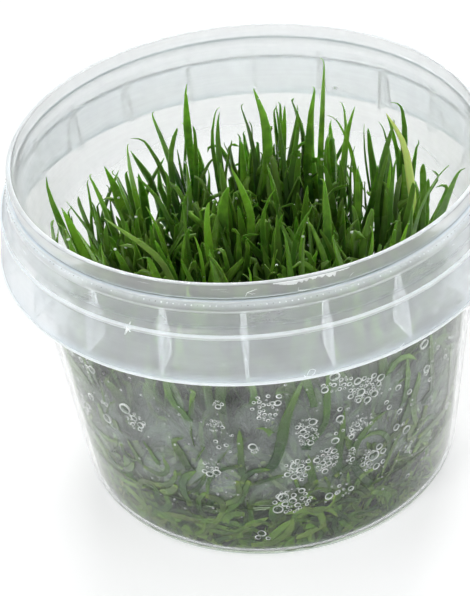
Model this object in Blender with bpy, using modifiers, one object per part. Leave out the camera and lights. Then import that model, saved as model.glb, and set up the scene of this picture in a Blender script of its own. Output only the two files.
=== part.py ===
"""Tissue culture cup of dwarf grass: a clear tapered cup with a ribbed collar, a disc of jelly in
its bottom, and a turf of strap-leaved plantlets rooted in the jelly.

Origin at the middle of the cup's foot, +Z up, metres. The cup stands on its flat foot.
"""

import math
import random
from collections import namedtuple

import bmesh
import bpy
import numpy as np
from mathutils import Matrix, Vector

MM = 0.001

CUP_SEGMENTS = 48
GEL_SEGMENTS = 36
CROWN_SIDES = 6

# Cup, heights from the floor, radii from its axis
CUP_HEIGHT = 76.0 * MM
FOOT_RADIUS = 40.3 * MM          # outer wall carried straight down to the floor
WALL_FLARE = 0.0955              # how far the wall spreads for each unit of height
WALL = 1.0 * MM
FLOOR_THICKNESS = 1.3 * MM
FOOT_ROUND = 4.0 * MM
FOOT_RECESS = 0.5 * MM
FOOT_RING_INNER = 32.0 * MM

# Collar round the mouth, depths below the rim
LIP_RADIUS = 47.5 * MM
LIP_DEPTH = 2.9 * MM
LIP_ROUND = 0.4 * MM
GROOVE_RADIUS = 47.0 * MM
GROOVE_DEPTH = 3.4 * MM
GROOVE_EDGE = 0.1 * MM
SHOULDER_RADIUS = 48.1 * MM
SHOULDER_DEPTH = 4.1 * MM
COLLAR_RADIUS = 48.6 * MM
COLLAR_DEPTH = 8.4 * MM
LEDGE_RADIUS = 50.0 * MM
LEDGE_DEPTH = 10.0 * MM
LEDGE_EDGE = 0.4 * MM
SKIRT_RADIUS = 51.5 * MM
SKIRT_DEPTH = 19.9 * MM
SKIRT_WALL = 0.7 * MM
POCKET_ROOF = 6.0 * MM           # top of the slot between collar and body

# Gusset ribs between the body and the skirt
RIBS = 20
FIRST_RIB_ANGLE = math.radians(-94.0)
RIB_THICKNESS = 0.9 * MM
RIB_WALL_END = 15.5 * MM         # lower end on the body, below the rim
RIB_SKIRT_END = 18.4 * MM        # lower end on the skirt
RIB_BITE = 0.4 * MM              # how far a rib runs into the walls that it joins

# Jelly
GEL_TOP = 14.0 * MM
GEL_MENISCUS = 1.2 * MM          # how far the jelly creeps up the wall
GEL_MENISCUS_WIDTH = 2.0 * MM
FIT_GAP = 0.3 * MM

# Plantlets
TUFTS = 34
TURF_RADIUS = 35.5 * MM
GOLDEN_ANGLE = math.radians(137.508)
ROOT_BOTTOM = 8.5 * MM
ROOT_RADIUS = 1.4 * MM
SOCKET_RADIUS = ROOT_RADIUS + 2 * FIT_GAP
CROWN_RADIUS = 2.1 * MM
CROWN_TOP = 17.0 * MM
LEAVES_PER_TUFT = 4
LEAF_WIDTH = 1.9 * MM
LEAF_THICKNESS = 0.75 * MM
LEAF_ROOT_OFFSET = 1.1 * MM      # from the middle of the crown
LEAF_ROOT_DEPTH = 0.9 * MM       # below the top of the crown
LEAF_UPRIGHT = 0.35              # share of its rise that a leaf goes straight up
LEAF_LEANING = 0.30              # share of its rise that takes the lean of the tip
LEAF_HEIGHTS = (44.0 * MM, 63.0 * MM)
LEAF_REACHES = (1.5 * MM, 7.0 * MM)
LEAF_SPLAYS = (0.0, 0.45)
LEAF_TWIST = math.radians(35.0)
LEAF_CLEARANCE = 2.0 * MM        # between the middle lines of leaves of two plantlets
LEAF_OUTLINE = ((0.0, 0.6), (0.5, 1.0), (0.85, 0.8))    # place along the leaf, breadth
TALL_LEAF_CHOICES = 6            # how many crowns a tall leaf may grow from, nearest first
TALL_LEAF_TWIST = math.radians(40.0)
TALL_LEAF_OUTWARD = 0.1
TALL_LEAF_SPREAD = 0.86          # a tall leaf's crown lies this much nearer the axis than its tip
PLANTING_TRIES = 200
SEED = 7

Leaf = namedtuple("Leaf", "slot root tip lean facing")

# The leaves that stand out above the turf: tip x, y, z in millimetres, and how far the leaf
# leans to the right for each millimetre that it rises there.
TALL_LEAVES = (
    (30.0, 24.5, 64, -0.30),
    (30.5, 19.0, 70, -0.30),
    (-40.8, 5.5, 68, -0.05),
    (-39.6, 3.0, 58, -0.20),
    (-38.7, 4.5, 61, -0.25),
    (-36.8, -1.0, 66, -0.55),
    (-35.5, 9.5, 60, -0.25),
    (-32.8, 4.5, 62, -0.10),
    (-32.5, 14.5, 62, -0.20),
    (-30.0, 17.0, 62, -0.30),
    (-27.5, 12.5, 62, -0.20),
    (-24.5, 18.5, 66, 0.10),
    (-24.5, 27.0, 62, -0.70),
    (-23.5, 15.0, 60, -0.90),
    (-19.0, 30.5, 66, -0.30),
    (-14.5, 29.5, 62, 0.35),
    (-11.5, 34.0, 70, 0.10),
    (-11.0, 26.5, 64, 0.00),
    (-5.0, 33.0, 64, 0.45),
    (-5.0, 24.5, 68, 0.15),
    (-3.0, 22.5, 62, 0.35),
    (0.2, 32.0, 65, -0.30),
    (2.5, 33.0, 68, -0.40),
    (7.0, 29.0, 66, -0.10),
    (9.0, 34.5, 62, 0.10),
    (11.5, 28.0, 64, 0.05),
    (15.0, 31.5, 68, 0.35),
    (14.5, 34.0, 60, 0.10),
    (17.0, 29.5, 76, 0.10),
    (17.5, 22.5, 66, -0.70),
    (20.5, 27.5, 66, -0.20),
    (23.5, 25.0, 66, 0.40),
    (17.5, 22.0, 62, 0.20),
    (22.5, 16.0, 62, 0.20),
    (25.0, 21.0, 64, 0.10),
    (26.0, 24.0, 61, 0.00),
    (28.0, 21.5, 64, -0.60),
    (30.5, 15.5, 68, 0.35),
    (29.5, 14.0, 62, 0.40),
    (30.0, 4.5, 66, 0.20),
    (33.0, 3.5, 60, 0.10),
    (35.5, 5.5, 63, 0.00),
    (39.5, -3.5, 68, 0.80),
    (42.0, -8.0, 70, 0.45),
    (-8.5, 0.0, 62, 0.25),
    (-4.5, 8.0, 60, 0.30),
    (-3.5, 9.5, 64, -0.45),
    (5.0, 2.5, 62, 0.65),
    (12.0, -4.5, 62, 0.70),
    (22.5, 8.5, 62, 0.00),
    (14.0, -1.0, 66, 0.00),
    (-21.5, 3.5, 60, -0.35),
    (30.5, -12.5, 62, 0.35),
)


def wall_radius(height):
    """Outer radius of the tapered body at a height above the floor."""
    return FOOT_RADIUS + WALL_FLARE * height


def below_rim(depth):
    """Height above the floor of a depth below the rim."""
    return CUP_HEIGHT - depth


def turn(angle, axis):
    return Matrix.Rotation(angle, 3, axis)


def refreshed_view():
    bpy.context.view_layer.update()
    return bpy.context.evaluated_depsgraph_get()


def make_material(name, colour, roughness, alpha=1.0):
    material = bpy.data.materials.new(name)
    material.use_nodes = True
    shader = material.node_tree.nodes["Principled BSDF"]
    shader.inputs["Base Color"].default_value = (*colour, 1.0)
    shader.inputs["Roughness"].default_value = roughness
    shader.inputs["Metallic"].default_value = 0.0
    shader.inputs["Alpha"].default_value = alpha
    return material


def add_object(name, mesh, collection, material=None):
    piece = bpy.data.objects.new(name, mesh)
    collection.objects.link(piece)
    if material:
        mesh.materials.append(material)
    return piece


def mark_as_tool(piece):
    """A shape that only cuts or joins another: not a piece of the object."""
    piece.hide_render = True
    piece.display_type = "WIRE"


def turned_piece(name, profile, segments, collection, material=None):
    """A profile of (radius, height) points, from the inside top round to the outside foot,
    turned about the axis."""
    mesh = bpy.data.meshes.new(name)
    points = [(radius, 0.0, height) for radius, height in profile]
    edges = [(index, index + 1) for index in range(len(points) - 1)]
    mesh.from_pydata(points, edges, [])
    piece = add_object(name, mesh, collection, material)
    screw = piece.modifiers.new("turn", "SCREW")
    screw.axis = "Z"
    screw.angle = math.tau
    screw.steps = segments
    screw.render_steps = segments
    screw.use_merge_vertices = True
    screw.merge_threshold = 0.01 * MM
    screw.use_smooth_shade = True
    return piece


def boolean(piece, operation, tool):
    modifier = piece.modifiers.new(operation.lower(), "BOOLEAN")
    modifier.operation = operation
    modifier.solver = "EXACT"
    modifier.object = tool


def foot_arc(radius, centre_height, reach, steps=2):
    """Round between floor and wall, from the floor up; reach is the wall's radius beside it."""
    draft = math.atan(WALL_FLARE)
    centre_radius = reach - radius
    points = []
    for step in range(steps + 1):
        angle = -math.pi / 2 + (math.pi / 2 - draft) * step / steps
        points.append((centre_radius + radius * math.cos(angle),
                       centre_height + radius * math.sin(angle)))
    return points


def cup_profile():
    floor_height = FOOT_RECESS + FLOOR_THICKNESS
    inner_round = FOOT_ROUND - WALL
    inner_centre = floor_height + inner_round
    inside = [(0.0, floor_height)]
    inside += foot_arc(inner_round, inner_centre, wall_radius(inner_centre) - WALL)
    lip_height = below_rim(LIP_ROUND)
    inside.append((wall_radius(lip_height) - WALL, lip_height))
    lip = [
        (wall_radius(CUP_HEIGHT) - WALL + LIP_ROUND / 2, CUP_HEIGHT),
        (LIP_RADIUS - LIP_ROUND, CUP_HEIGHT),
        (LIP_RADIUS, lip_height),
        (LIP_RADIUS, below_rim(LIP_DEPTH)),
        (GROOVE_RADIUS, below_rim(LIP_DEPTH + GROOVE_EDGE)),
        (GROOVE_RADIUS, below_rim(GROOVE_DEPTH)),
    ]
    collar = [
        (SHOULDER_RADIUS - LEDGE_EDGE, below_rim(GROOVE_DEPTH + GROOVE_EDGE)),
        (SHOULDER_RADIUS, below_rim(SHOULDER_DEPTH)),
        (COLLAR_RADIUS, below_rim(COLLAR_DEPTH)),
        (LEDGE_RADIUS - LEDGE_EDGE, below_rim(LEDGE_DEPTH - LEDGE_EDGE)),
        (LEDGE_RADIUS, below_rim(LEDGE_DEPTH)),
        (SKIRT_RADIUS, below_rim(SKIRT_DEPTH)),
        (SKIRT_RADIUS - SKIRT_WALL, below_rim(SKIRT_DEPTH)),
        (LEDGE_RADIUS - SKIRT_WALL, below_rim(LEDGE_DEPTH + SKIRT_WALL)),
        (COLLAR_RADIUS - SKIRT_WALL, below_rim(COLLAR_DEPTH + SKIRT_WALL)),
        (SHOULDER_RADIUS - SKIRT_WALL, below_rim(POCKET_ROOF)),
        (wall_radius(below_rim(POCKET_ROOF)), below_rim(POCKET_ROOF)),
    ]
    foot = list(reversed(foot_arc(FOOT_ROUND, FOOT_ROUND, wall_radius(FOOT_ROUND))))
    base = [
        (FOOT_RING_INNER, 0.0),
        (FOOT_RING_INNER - FOOT_RECESS, FOOT_RECESS),
        (0.0, FOOT_RECESS),
    ]
    return inside + lip + collar + foot + base


def rib_outline():
    """One gusset rib in the plane of radius and height."""
    top = POCKET_ROOF - RIB_BITE
    return [
        (wall_radius(below_rim(top)) - RIB_BITE, below_rim(top)),
        (SHOULDER_RADIUS - RIB_BITE, below_rim(top)),
        (COLLAR_RADIUS - RIB_BITE, below_rim(COLLAR_DEPTH)),
        (LEDGE_RADIUS - RIB_BITE, below_rim(LEDGE_DEPTH + LEDGE_EDGE)),
        (SKIRT_RADIUS - SKIRT_WALL + RIB_BITE / 2, below_rim(RIB_SKIRT_END)),
        (wall_radius(below_rim(RIB_WALL_END)) - RIB_BITE, below_rim(RIB_WALL_END)),
    ]


def make_ribs(collection):
    """All ribs in one mesh, as upright plates set evenly round the axis."""
    curve = bpy.data.curves.new("rib_outline", "CURVE")
    curve.dimensions = "2D"
    curve.fill_mode = "BOTH"
    curve.extrude = RIB_THICKNESS / 2
    spline = curve.splines.new("POLY")
    outline = rib_outline()
    spline.points.add(len(outline) - 1)
    for point, (radius, height) in zip(spline.points, outline):
        point.co = (radius, height, 0.0, 1.0)
    spline.use_cyclic_u = True
    guide = bpy.data.objects.new("rib_outline", curve)
    collection.objects.link(guide)
    plate = bpy.data.meshes.new_from_object(guide.evaluated_get(refreshed_view()))
    bpy.data.objects.remove(guide)

    shape = bmesh.new()
    shape.from_mesh(plate)
    bmesh.ops.remove_doubles(shape, verts=shape.verts, dist=0.01 * MM)
    bmesh.ops.rotate(shape, verts=shape.verts, matrix=turn(math.pi / 2, "X"))
    first = shape.verts[:] + shape.edges[:] + shape.faces[:]
    for index in range(1, RIBS):
        copy = bmesh.ops.duplicate(shape, geom=first)["geom"]
        corners = [item for item in copy if isinstance(item, bmesh.types.BMVert)]
        bmesh.ops.rotate(shape, verts=corners, matrix=turn(math.tau * index / RIBS, "Z"))
    bmesh.ops.rotate(shape, verts=shape.verts, matrix=turn(FIRST_RIB_ANGLE, "Z"))
    bmesh.ops.recalc_face_normals(shape, faces=shape.faces)
    mesh = bpy.data.meshes.new("ribs")
    shape.to_mesh(mesh)
    shape.free()
    bpy.data.meshes.remove(plate)
    ribs = add_object("ribs", mesh, collection)
    mark_as_tool(ribs)
    return ribs


def make_cup(collection, tools):
    material = make_material("clear_polypropylene", (0.86, 0.88, 0.87), 0.25, alpha=0.35)
    cup = turned_piece("cup", cup_profile(), CUP_SEGMENTS, collection, material)
    boolean(cup, "UNION", make_ribs(tools))
    return cup


def make_gel(collection, tools, crowns):
    """A disc of jelly poured into the cup, with a socket for the root plug of each plantlet."""
    floor_height = FOOT_RECESS + FLOOR_THICKNESS + FIT_GAP
    gap = WALL + FIT_GAP
    profile = [
        (0.0, GEL_TOP),
        (wall_radius(GEL_TOP) - gap - GEL_MENISCUS_WIDTH, GEL_TOP),
        (wall_radius(GEL_TOP) - gap, GEL_TOP + GEL_MENISCUS),
    ]
    round_height = floor_height + FOOT_ROUND - WALL
    profile += reversed(foot_arc(FOOT_ROUND - WALL, round_height, wall_radius(round_height) - gap))
    profile.append((0.0, floor_height))
    material = make_material("clear_jelly", (0.80, 0.84, 0.74), 0.1, alpha=0.35)
    gel = turned_piece("nutrient_gel", profile, GEL_SEGMENTS, collection, material)

    sockets = bmesh.new()
    bottom = ROOT_BOTTOM - FIT_GAP
    depth = GEL_TOP + GEL_MENISCUS - bottom
    for crown in crowns:
        place = Matrix.Translation((crown.x, crown.y, bottom + depth / 2))
        bmesh.ops.create_cone(sockets, cap_ends=True, segments=CROWN_SIDES, depth=depth,
                              radius1=SOCKET_RADIUS, radius2=SOCKET_RADIUS, matrix=place)
    mesh = bpy.data.meshes.new("sockets")
    sockets.to_mesh(mesh)
    sockets.free()
    cutter = add_object("sockets", mesh, tools)
    mark_as_tool(cutter)
    boolean(gel, "DIFFERENCE", cutter)
    return gel


def crown_places():
    """Where the plantlets were set: evenly over the jelly, like seeds in a sunflower."""
    spread = TURF_RADIUS / math.sqrt(TUFTS - 0.5)
    places = []
    for index in range(TUFTS):
        radius = spread * math.sqrt(index + 0.5)
        angle = GOLDEN_ANGLE * index
        places.append(Vector((radius * math.cos(angle), radius * math.sin(angle), 0.0)))
    return places


def course(leaf, along):
    """Point on a leaf's middle line, from 0 at the crown to 1 at the tip. It leaves the crown
    upright and reaches the tip with the leaf's own lean."""
    rise = leaf.tip.z - leaf.root.z
    first = leaf.root + Vector((0.0, 0.0, LEAF_UPRIGHT * rise))
    last = leaf.tip - LEAF_LEANING * rise * Vector((leaf.lean.x, leaf.lean.y, 1.0))
    back = 1.0 - along
    return (back ** 3 * leaf.root + 3 * back ** 2 * along * first
            + 3 * back * along ** 2 * last + along ** 3 * leaf.tip)


def course_points(leaf):
    steps = 24
    return np.array([course(leaf, step / steps) for step in range(steps + 1)])


def is_clear(leaf, index, turf):
    """True where a leaf keeps its distance from the leaves of all other plantlets."""
    others = [course_points(other) for number, leaves in enumerate(turf) for other in leaves
              if number != index]
    if not others:
        return True
    gaps = np.concatenate(others)[:, None] - course_points(leaf)[None]
    return np.linalg.norm(gaps, axis=2).min() > LEAF_CLEARANCE


def grown_leaf(crown, grown, tip, lean, facing):
    """A leaf from that free quarter of the crown which faces its tip best."""
    towards = math.atan2(tip.y - crown.y, tip.x - crown.x)
    taken = [leaf.slot for leaf in grown]
    free = [slot for slot in range(LEAVES_PER_TUFT) if slot not in taken]
    turns = {slot: math.tau * (slot + 0.5) / LEAVES_PER_TUFT for slot in free}
    slot = max(free, key=lambda number: math.cos(turns[number] - towards))
    side = Vector((math.cos(turns[slot]), math.sin(turns[slot]), 0.0))
    root = crown + side * LEAF_ROOT_OFFSET + Vector((0.0, 0.0, CROWN_TOP - LEAF_ROOT_DEPTH))
    return Leaf(slot, root, tip, lean, facing)


def plant_tall_leaves(draw, places, turf):
    """Each tall leaf grows from the nearest crown that has room for it."""
    for x, y, z, lean in TALL_LEAVES:
        tip = Vector((x, y, z)) * MM
        foot = Vector((x, y, 0.0)) * MM * TALL_LEAF_SPREAD
        facing = -math.pi / 2 + draw.uniform(-TALL_LEAF_TWIST, TALL_LEAF_TWIST)
        near = sorted(range(TUFTS), key=lambda index: (places[index] - foot).length)
        roomy = [index for index in near if len(turf[index]) < LEAVES_PER_TUFT]
        lean_out = Vector((lean, TALL_LEAF_OUTWARD * tip.y / TURF_RADIUS, 0.0))
        for index in roomy[:TALL_LEAF_CHOICES]:
            leaf = grown_leaf(places[index], turf[index], tip, lean_out, facing)
            if is_clear(leaf, index, turf):
                turf[index].append(leaf)
                break


def plant_other_leaves(draw, places, turf):
    """The rest of each plantlet's leaves splay from its crown as they find room."""
    for index, crown in enumerate(places):
        tries = 0
        while len(turf[index]) < LEAVES_PER_TUFT and tries < PLANTING_TRIES:
            tries += 1
            angle = draw.uniform(0.0, math.tau)
            reach = draw.uniform(*LEAF_REACHES)
            height = draw.uniform(*LEAF_HEIGHTS)
            splay = draw.uniform(*LEAF_SPLAYS)
            away = Vector((math.cos(angle), math.sin(angle), 0.0))
            tip = crown + away * reach + Vector((0.0, 0.0, height))
            room = wall_radius(height) - WALL - LEAF_WIDTH
            facing = angle + draw.uniform(-LEAF_TWIST, LEAF_TWIST)
            leaf = grown_leaf(crown, turf[index], tip, away * splay, facing)
            if math.hypot(tip.x, tip.y) < room and is_clear(leaf, index, turf):
                turf[index].append(leaf)


def plan_turf(places):
    draw = random.Random(SEED)
    turf = [[] for place in places]
    plant_tall_leaves(draw, places, turf)
    plant_other_leaves(draw, places, turf)
    return turf


def loft(rings):
    """A closed mesh through rings of points of equal number; the last may be a single point."""
    shape = bmesh.new()
    rows = [[shape.verts.new(point) for point in ring] for ring in rings]
    shape.faces.new(reversed(rows[0]))
    for low, high in zip(rows, rows[1:]):
        sides = len(low)
        for side in range(sides):
            after = (side + 1) % sides
            if len(high) == 1:
                shape.faces.new((low[side], low[after], high[0]))
            else:
                shape.faces.new((low[side], low[after], high[after], high[side]))
    if len(rows[-1]) > 1:
        shape.faces.new(rows[-1])
    mesh = bpy.data.meshes.new("loft")
    shape.to_mesh(mesh)
    shape.free()
    return mesh


def leaf_mesh(leaf):
    """A strap blade: flat in front and keeled behind, widest past the middle, pointed."""
    rings = []
    for along, breadth in LEAF_OUTLINE:
        middle = course(leaf, along)
        ahead = (course(leaf, along + 0.01) - middle).normalized()
        across = ahead.cross(Vector((math.cos(leaf.facing), math.sin(leaf.facing), 0.0)))
        across.normalize()
        flat = ahead.cross(across)
        half_width = across * LEAF_WIDTH * breadth / 2
        keel = middle + flat * LEAF_THICKNESS * (0.5 + 0.5 * breadth)
        rings.append([middle + half_width, keel, middle - half_width])
    rings.append([leaf.tip])
    return loft(rings)


def crown_mesh(crown):
    """The plantlet's foot: a root plug in the jelly and the thick crown above it."""
    outline = (
        (ROOT_BOTTOM, 0.6 * ROOT_RADIUS),
        (GEL_TOP + FIT_GAP, ROOT_RADIUS),
        (CROWN_TOP, CROWN_RADIUS),
    )
    rings = []
    for height, radius in outline:
        ring = []
        for side in range(CROWN_SIDES):
            angle = math.tau * side / CROWN_SIDES
            offset = Vector((radius * math.cos(angle), radius * math.sin(angle), height))
            ring.append(crown + offset)
        rings.append(ring)
    return loft(rings)


def make_tuft(name, crown, leaves, collection, tools, material):
    """One plantlet, its crown and leaves joined in one body."""
    tuft = add_object(name, crown_mesh(crown), collection, material)
    for leaf in leaves:
        blade = add_object("blade", leaf_mesh(leaf), tools)
        boolean(tuft, "UNION", blade)
        joined = bpy.data.meshes.new_from_object(tuft.evaluated_get(refreshed_view()))
        tuft.modifiers.clear()
        tuft.data = joined
        bpy.data.objects.remove(blade)
    return tuft


def main():
    for old in list(bpy.data.objects):
        bpy.data.objects.remove(old)
    collection = bpy.data.collections.new("culture_cup")
    tools = bpy.data.collections.new("tools")
    bpy.context.scene.collection.children.link(collection)
    bpy.context.scene.collection.children.link(tools)

    places = crown_places()
    make_cup(collection, tools)
    make_gel(collection, tools, places)
    leaf_green = make_material("leaf_green", (0.16, 0.32, 0.06), 0.4)
    for index, leaves in enumerate(plan_turf(places)):
        make_tuft(f"tuft_{index + 1:02d}", places[index], leaves, collection, tools, leaf_green)


main()
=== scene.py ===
"""A tissue culture cup of dwarf aquarium grass: a clear ribbed cup with a hanging skirt, a disc
of jelly in its bottom, and a dense turf of strap-leaved plantlets, wet and full of bubbles.

It is put together in this order: the studio, the cup, its scuffs and torn bits, the jelly, the
plantlets with the leaves pressed on the wall, the drops on them, and the wet film and the
bubbles on the wall.
"""

import math
import random
from collections import namedtuple

import bmesh
import bpy
import numpy as np
from mathutils import Matrix, Vector


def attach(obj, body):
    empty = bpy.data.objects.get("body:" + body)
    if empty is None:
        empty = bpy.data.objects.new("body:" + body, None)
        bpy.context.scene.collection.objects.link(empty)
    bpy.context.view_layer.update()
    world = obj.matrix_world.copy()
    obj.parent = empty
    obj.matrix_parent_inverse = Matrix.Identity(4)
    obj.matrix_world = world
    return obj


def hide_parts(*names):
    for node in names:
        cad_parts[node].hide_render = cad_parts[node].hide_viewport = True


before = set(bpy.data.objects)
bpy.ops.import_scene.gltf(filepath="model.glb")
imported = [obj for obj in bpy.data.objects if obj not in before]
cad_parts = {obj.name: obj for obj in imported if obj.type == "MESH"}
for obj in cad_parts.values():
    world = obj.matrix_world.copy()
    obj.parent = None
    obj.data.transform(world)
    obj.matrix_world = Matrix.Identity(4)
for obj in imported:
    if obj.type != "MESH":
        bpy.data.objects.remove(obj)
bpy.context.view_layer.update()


# The studio
# A white sweep that glows a little, in a pale room, with a soft box above the left shoulder of
# the camera, a weaker one on the right and a broad one behind, as for a shop's picture.
MM = 0.001
PICTURE_HEIGHT = 596             # in pixels, its long side
FOCAL_LENGTH = 1800.0            # in pixels of the picture
SENSOR = 36.0                    # its long side, in millimetres
RIM_HEIGHT = 76.0 * MM
CAMERA_DISTANCE = 355.2 * MM     # from the middle of the rim
CAMERA_RISE = math.radians(32.16)
CAMERA_PAN = math.radians(0.80)
CAMERA_TILT = math.radians(-4.97)
CAMERA_ROLL = math.radians(5.19)
FLOOR_GLOW = (0.60, 0.23)        # before the cup and behind it, where the back lamp is near
FLOOR_GLOW_SPAN = (-0.10, 0.08)
ROOM_LIGHT = 0.55

# Each lamp's name, place, size and power; it faces the cup.
LAMPS = (
    ("key", (-0.40, -0.45, 0.70), 0.22, 1.5),
    ("fill", (0.55, -0.30, 0.50), 0.25, 0.45),
    ("back", (0.10, 0.75, 0.55), 0.50, 5.9),
)
LAMPS_FACE = Vector((0.0, 0.0, 0.04))


class Finish:
    """A material in the making, with short ways to add the nodes that feed its shader."""

    def __init__(self, name):
        self.material = bpy.data.materials.new(name)
        self.material.use_nodes = True
        self.tree = self.material.node_tree

    def fill(self, node, inputs):
        """Sets each input to a value, or joins it to another node's output."""
        for name, value in inputs.items():
            if isinstance(value, bpy.types.NodeSocket):
                self.tree.links.new(value, node.inputs[name])
            else:
                node.inputs[name].default_value = value

    def add(self, kind, inputs, output=0, **settings):
        node = self.tree.nodes.new("ShaderNode" + kind)
        for name, value in settings.items():
            setattr(node, name, value)
        self.fill(node, inputs)
        return node.outputs[output]

    def dress(self, inputs):
        """Fills the shader, and gives the finished material."""
        self.fill(self.tree.nodes["Principled BSDF"], inputs)
        return self.material

    def place(self):
        return self.add("TexCoord", {}, "Object")

    def mark(self, name):
        """What the mesh says at each point."""
        return self.add("Attribute", {}, "Fac", attribute_name=name)

    def noise(self, scale, detail=2.0, roughness=0.5):
        return self.add("TexNoise", {"Vector": self.place(), "Scale": scale, "Detail": detail,
                                     "Roughness": roughness})

    def math(self, operation, first, second):
        return self.add("Math", {0: first, 1: second}, operation=operation)

    def left_from_one(self, value):
        return self.add("Math", {0: 1.0, 1: value}, operation="SUBTRACT", use_clamp=True)

    def ranged(self, value, before, after):
        """A value moved from one range to another and held in it."""
        return self.add("MapRange", {"Value": value, "From Min": before[0], "From Max": before[1],
                                     "To Min": after[0], "To Max": after[1]})

    def mix(self, share, first, second):
        return self.add("Mix", {"Factor": share, "A": first, "B": second}, "Result",
                        data_type="RGBA")

    def ramp(self, value, *stops):
        """A colour between stops, each a place from 0 to 1 with its red, green and blue."""
        node = self.tree.nodes.new("ShaderNodeValToRGB")
        row = node.color_ramp.elements
        for element, (place, *colour) in zip((row[0], row[1]), (stops[0], stops[-1])):
            element.position = place
            element.color = (*colour, 1.0)
        for place, *colour in stops[1:-1]:
            row.new(place).color = (*colour, 1.0)
        self.fill(node, {"Fac": value})
        return node.outputs["Color"]

    def bump(self, height, strength, distance):
        return self.add("Bump", {"Height": height, "Strength": strength,
                                 "Distance": distance * MM})


def set_camera():
    """From the front and above it looks at the middle of the rim, and is then turned a little."""
    away = Vector((0.0, -math.cos(CAMERA_RISE), math.sin(CAMERA_RISE)))
    place = Vector((0.0, 0.0, RIM_HEIGHT)) + CAMERA_DISTANCE * away
    data = bpy.data.cameras.new("camera")
    data.sensor_width = SENSOR
    data.lens = FOCAL_LENGTH * SENSOR / PICTURE_HEIGHT
    camera = bpy.data.objects.new("camera", data)
    bpy.context.scene.collection.objects.link(camera)
    turn = Matrix.Translation(place)
    for angle, axis in ((math.pi / 2 - CAMERA_RISE, "X"), (CAMERA_PAN, "Y"), (CAMERA_TILT, "X"),
                        (-CAMERA_ROLL, "Z")):
        turn = turn @ Matrix.Rotation(angle, 4, axis)
    camera.matrix_world = turn
    bpy.context.scene.camera = camera


def add_soft_box(name, place, size, power):
    data = bpy.data.lights.new(name, "AREA")
    data.size = size
    data.energy = power
    lamp = bpy.data.objects.new(name, data)
    lamp.visible_transmission = False
    bpy.context.scene.collection.objects.link(lamp)
    lamp.location = place
    lamp.rotation_euler = (LAMPS_FACE - Vector(place)).to_track_quat("-Z", "Y").to_euler()


def add_piece(name, mesh, material):
    piece = bpy.data.objects.new(name, mesh)
    bpy.context.scene.collection.objects.link(piece)
    mesh.materials.append(material)
    return piece


def let_light_in(piece):
    """Lamps shine straight through a clear piece, which would hold their light back otherwise."""
    piece.visible_shadow = False


def mesh_of(shape, name):
    mesh = bpy.data.meshes.new(name)
    shape.to_mesh(mesh)
    shape.free()
    return mesh


def lay_floor():
    sweep = Finish("white_sweep")
    depth = sweep.add("SeparateXYZ", {"Vector": sweep.place()}, "Y")
    white = sweep.dress({
        "Base Color": (0.70, 0.70, 0.70, 1.0), "Roughness": 0.9, "Specular IOR Level": 0.0,
        "Emission Color": (1.0, 1.0, 1.0, 1.0),
        "Emission Strength": sweep.ranged(depth, FLOOR_GLOW_SPAN, FLOOR_GLOW),
    })
    shape = bmesh.new()
    bmesh.ops.create_grid(shape, x_segments=1, y_segments=1, size=3.0)
    add_piece("floor", mesh_of(shape, "floor"), white)


def light_room():
    world = bpy.data.worlds.new("white_room")
    world.use_nodes = True
    background = world.node_tree.nodes["Background"]
    background.inputs["Color"].default_value = (0.97, 0.99, 1.0, 1.0)
    background.inputs["Strength"].default_value = ROOM_LIGHT
    bpy.context.scene.world = world
    for lamp in LAMPS:
        add_soft_box(*lamp)


def set_rendering():
    scene = bpy.context.scene
    scene.view_settings.view_transform = "Standard"
    scene.view_settings.look = "None"
    scene.cycles.use_denoising = True
    scene.cycles.max_bounces = 24
    scene.cycles.transmission_bounces = 20
    scene.cycles.transparent_max_bounces = 16
    scene.cycles.diffuse_bounces = 4
    scene.cycles.glossy_bounces = 6
    scene.cycles.sample_clamp_indirect = 10.0
    scene.cycles.seed = 4


set_camera()
lay_floor()
light_room()
set_rendering()


# The cup
# Injection-moulded polypropylene, clear and slightly milky: a tapered body, a lip for the lid,
# a collar below it and a skirt that hangs from the collar, tied to the body by twenty ribs.
CUP_SEGMENTS = 240
FOOT_RADIUS = 40.3               # millimetres, as all lengths of the cup's outline
WALL_FLARE = 0.0955
WALL = 1.0
CUP_HEIGHT = 76.0
INNER_FLOOR = 1.2
CORNER_ROUND = 3.0
FOOT_RECESS = 0.5
FOOT_RING_INNER = 32.0
COLLAR_ROOT = 6.0                # how deep below the rim the collar leaves the body
CURVE_STEPS = 5                  # in a rounded corner

# Lip, groove, shoulder, collar, ledge and skirt, and back up under them: radius, depth below the
# rim, and how far each corner is rounded.
COLLAR_CORNERS = (
    (47.5, 0.0, 0.35), (47.5, 2.95, 0.15), (47.0, 3.05, 0.05), (47.0, 3.55, 0.1),
    (48.0, 3.6, 0.3), (48.2, 5.6, 0.3), (48.55, 8.5, 1.0), (49.75, 9.55, 0.15),
    (50.12, 9.6, 0.18), (50.12, 10.25, 0.18), (50.02, 10.5, 0.15), (51.36, 19.2, 0.15),
    (51.5, 19.35, 0.12), (51.5, 19.9, 0.22), (50.85, 19.9, 0.22), (49.4, 10.6, 0.4),
    (47.95, 9.1, 0.9), (47.5, COLLAR_ROOT, 0.3),
)

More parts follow.
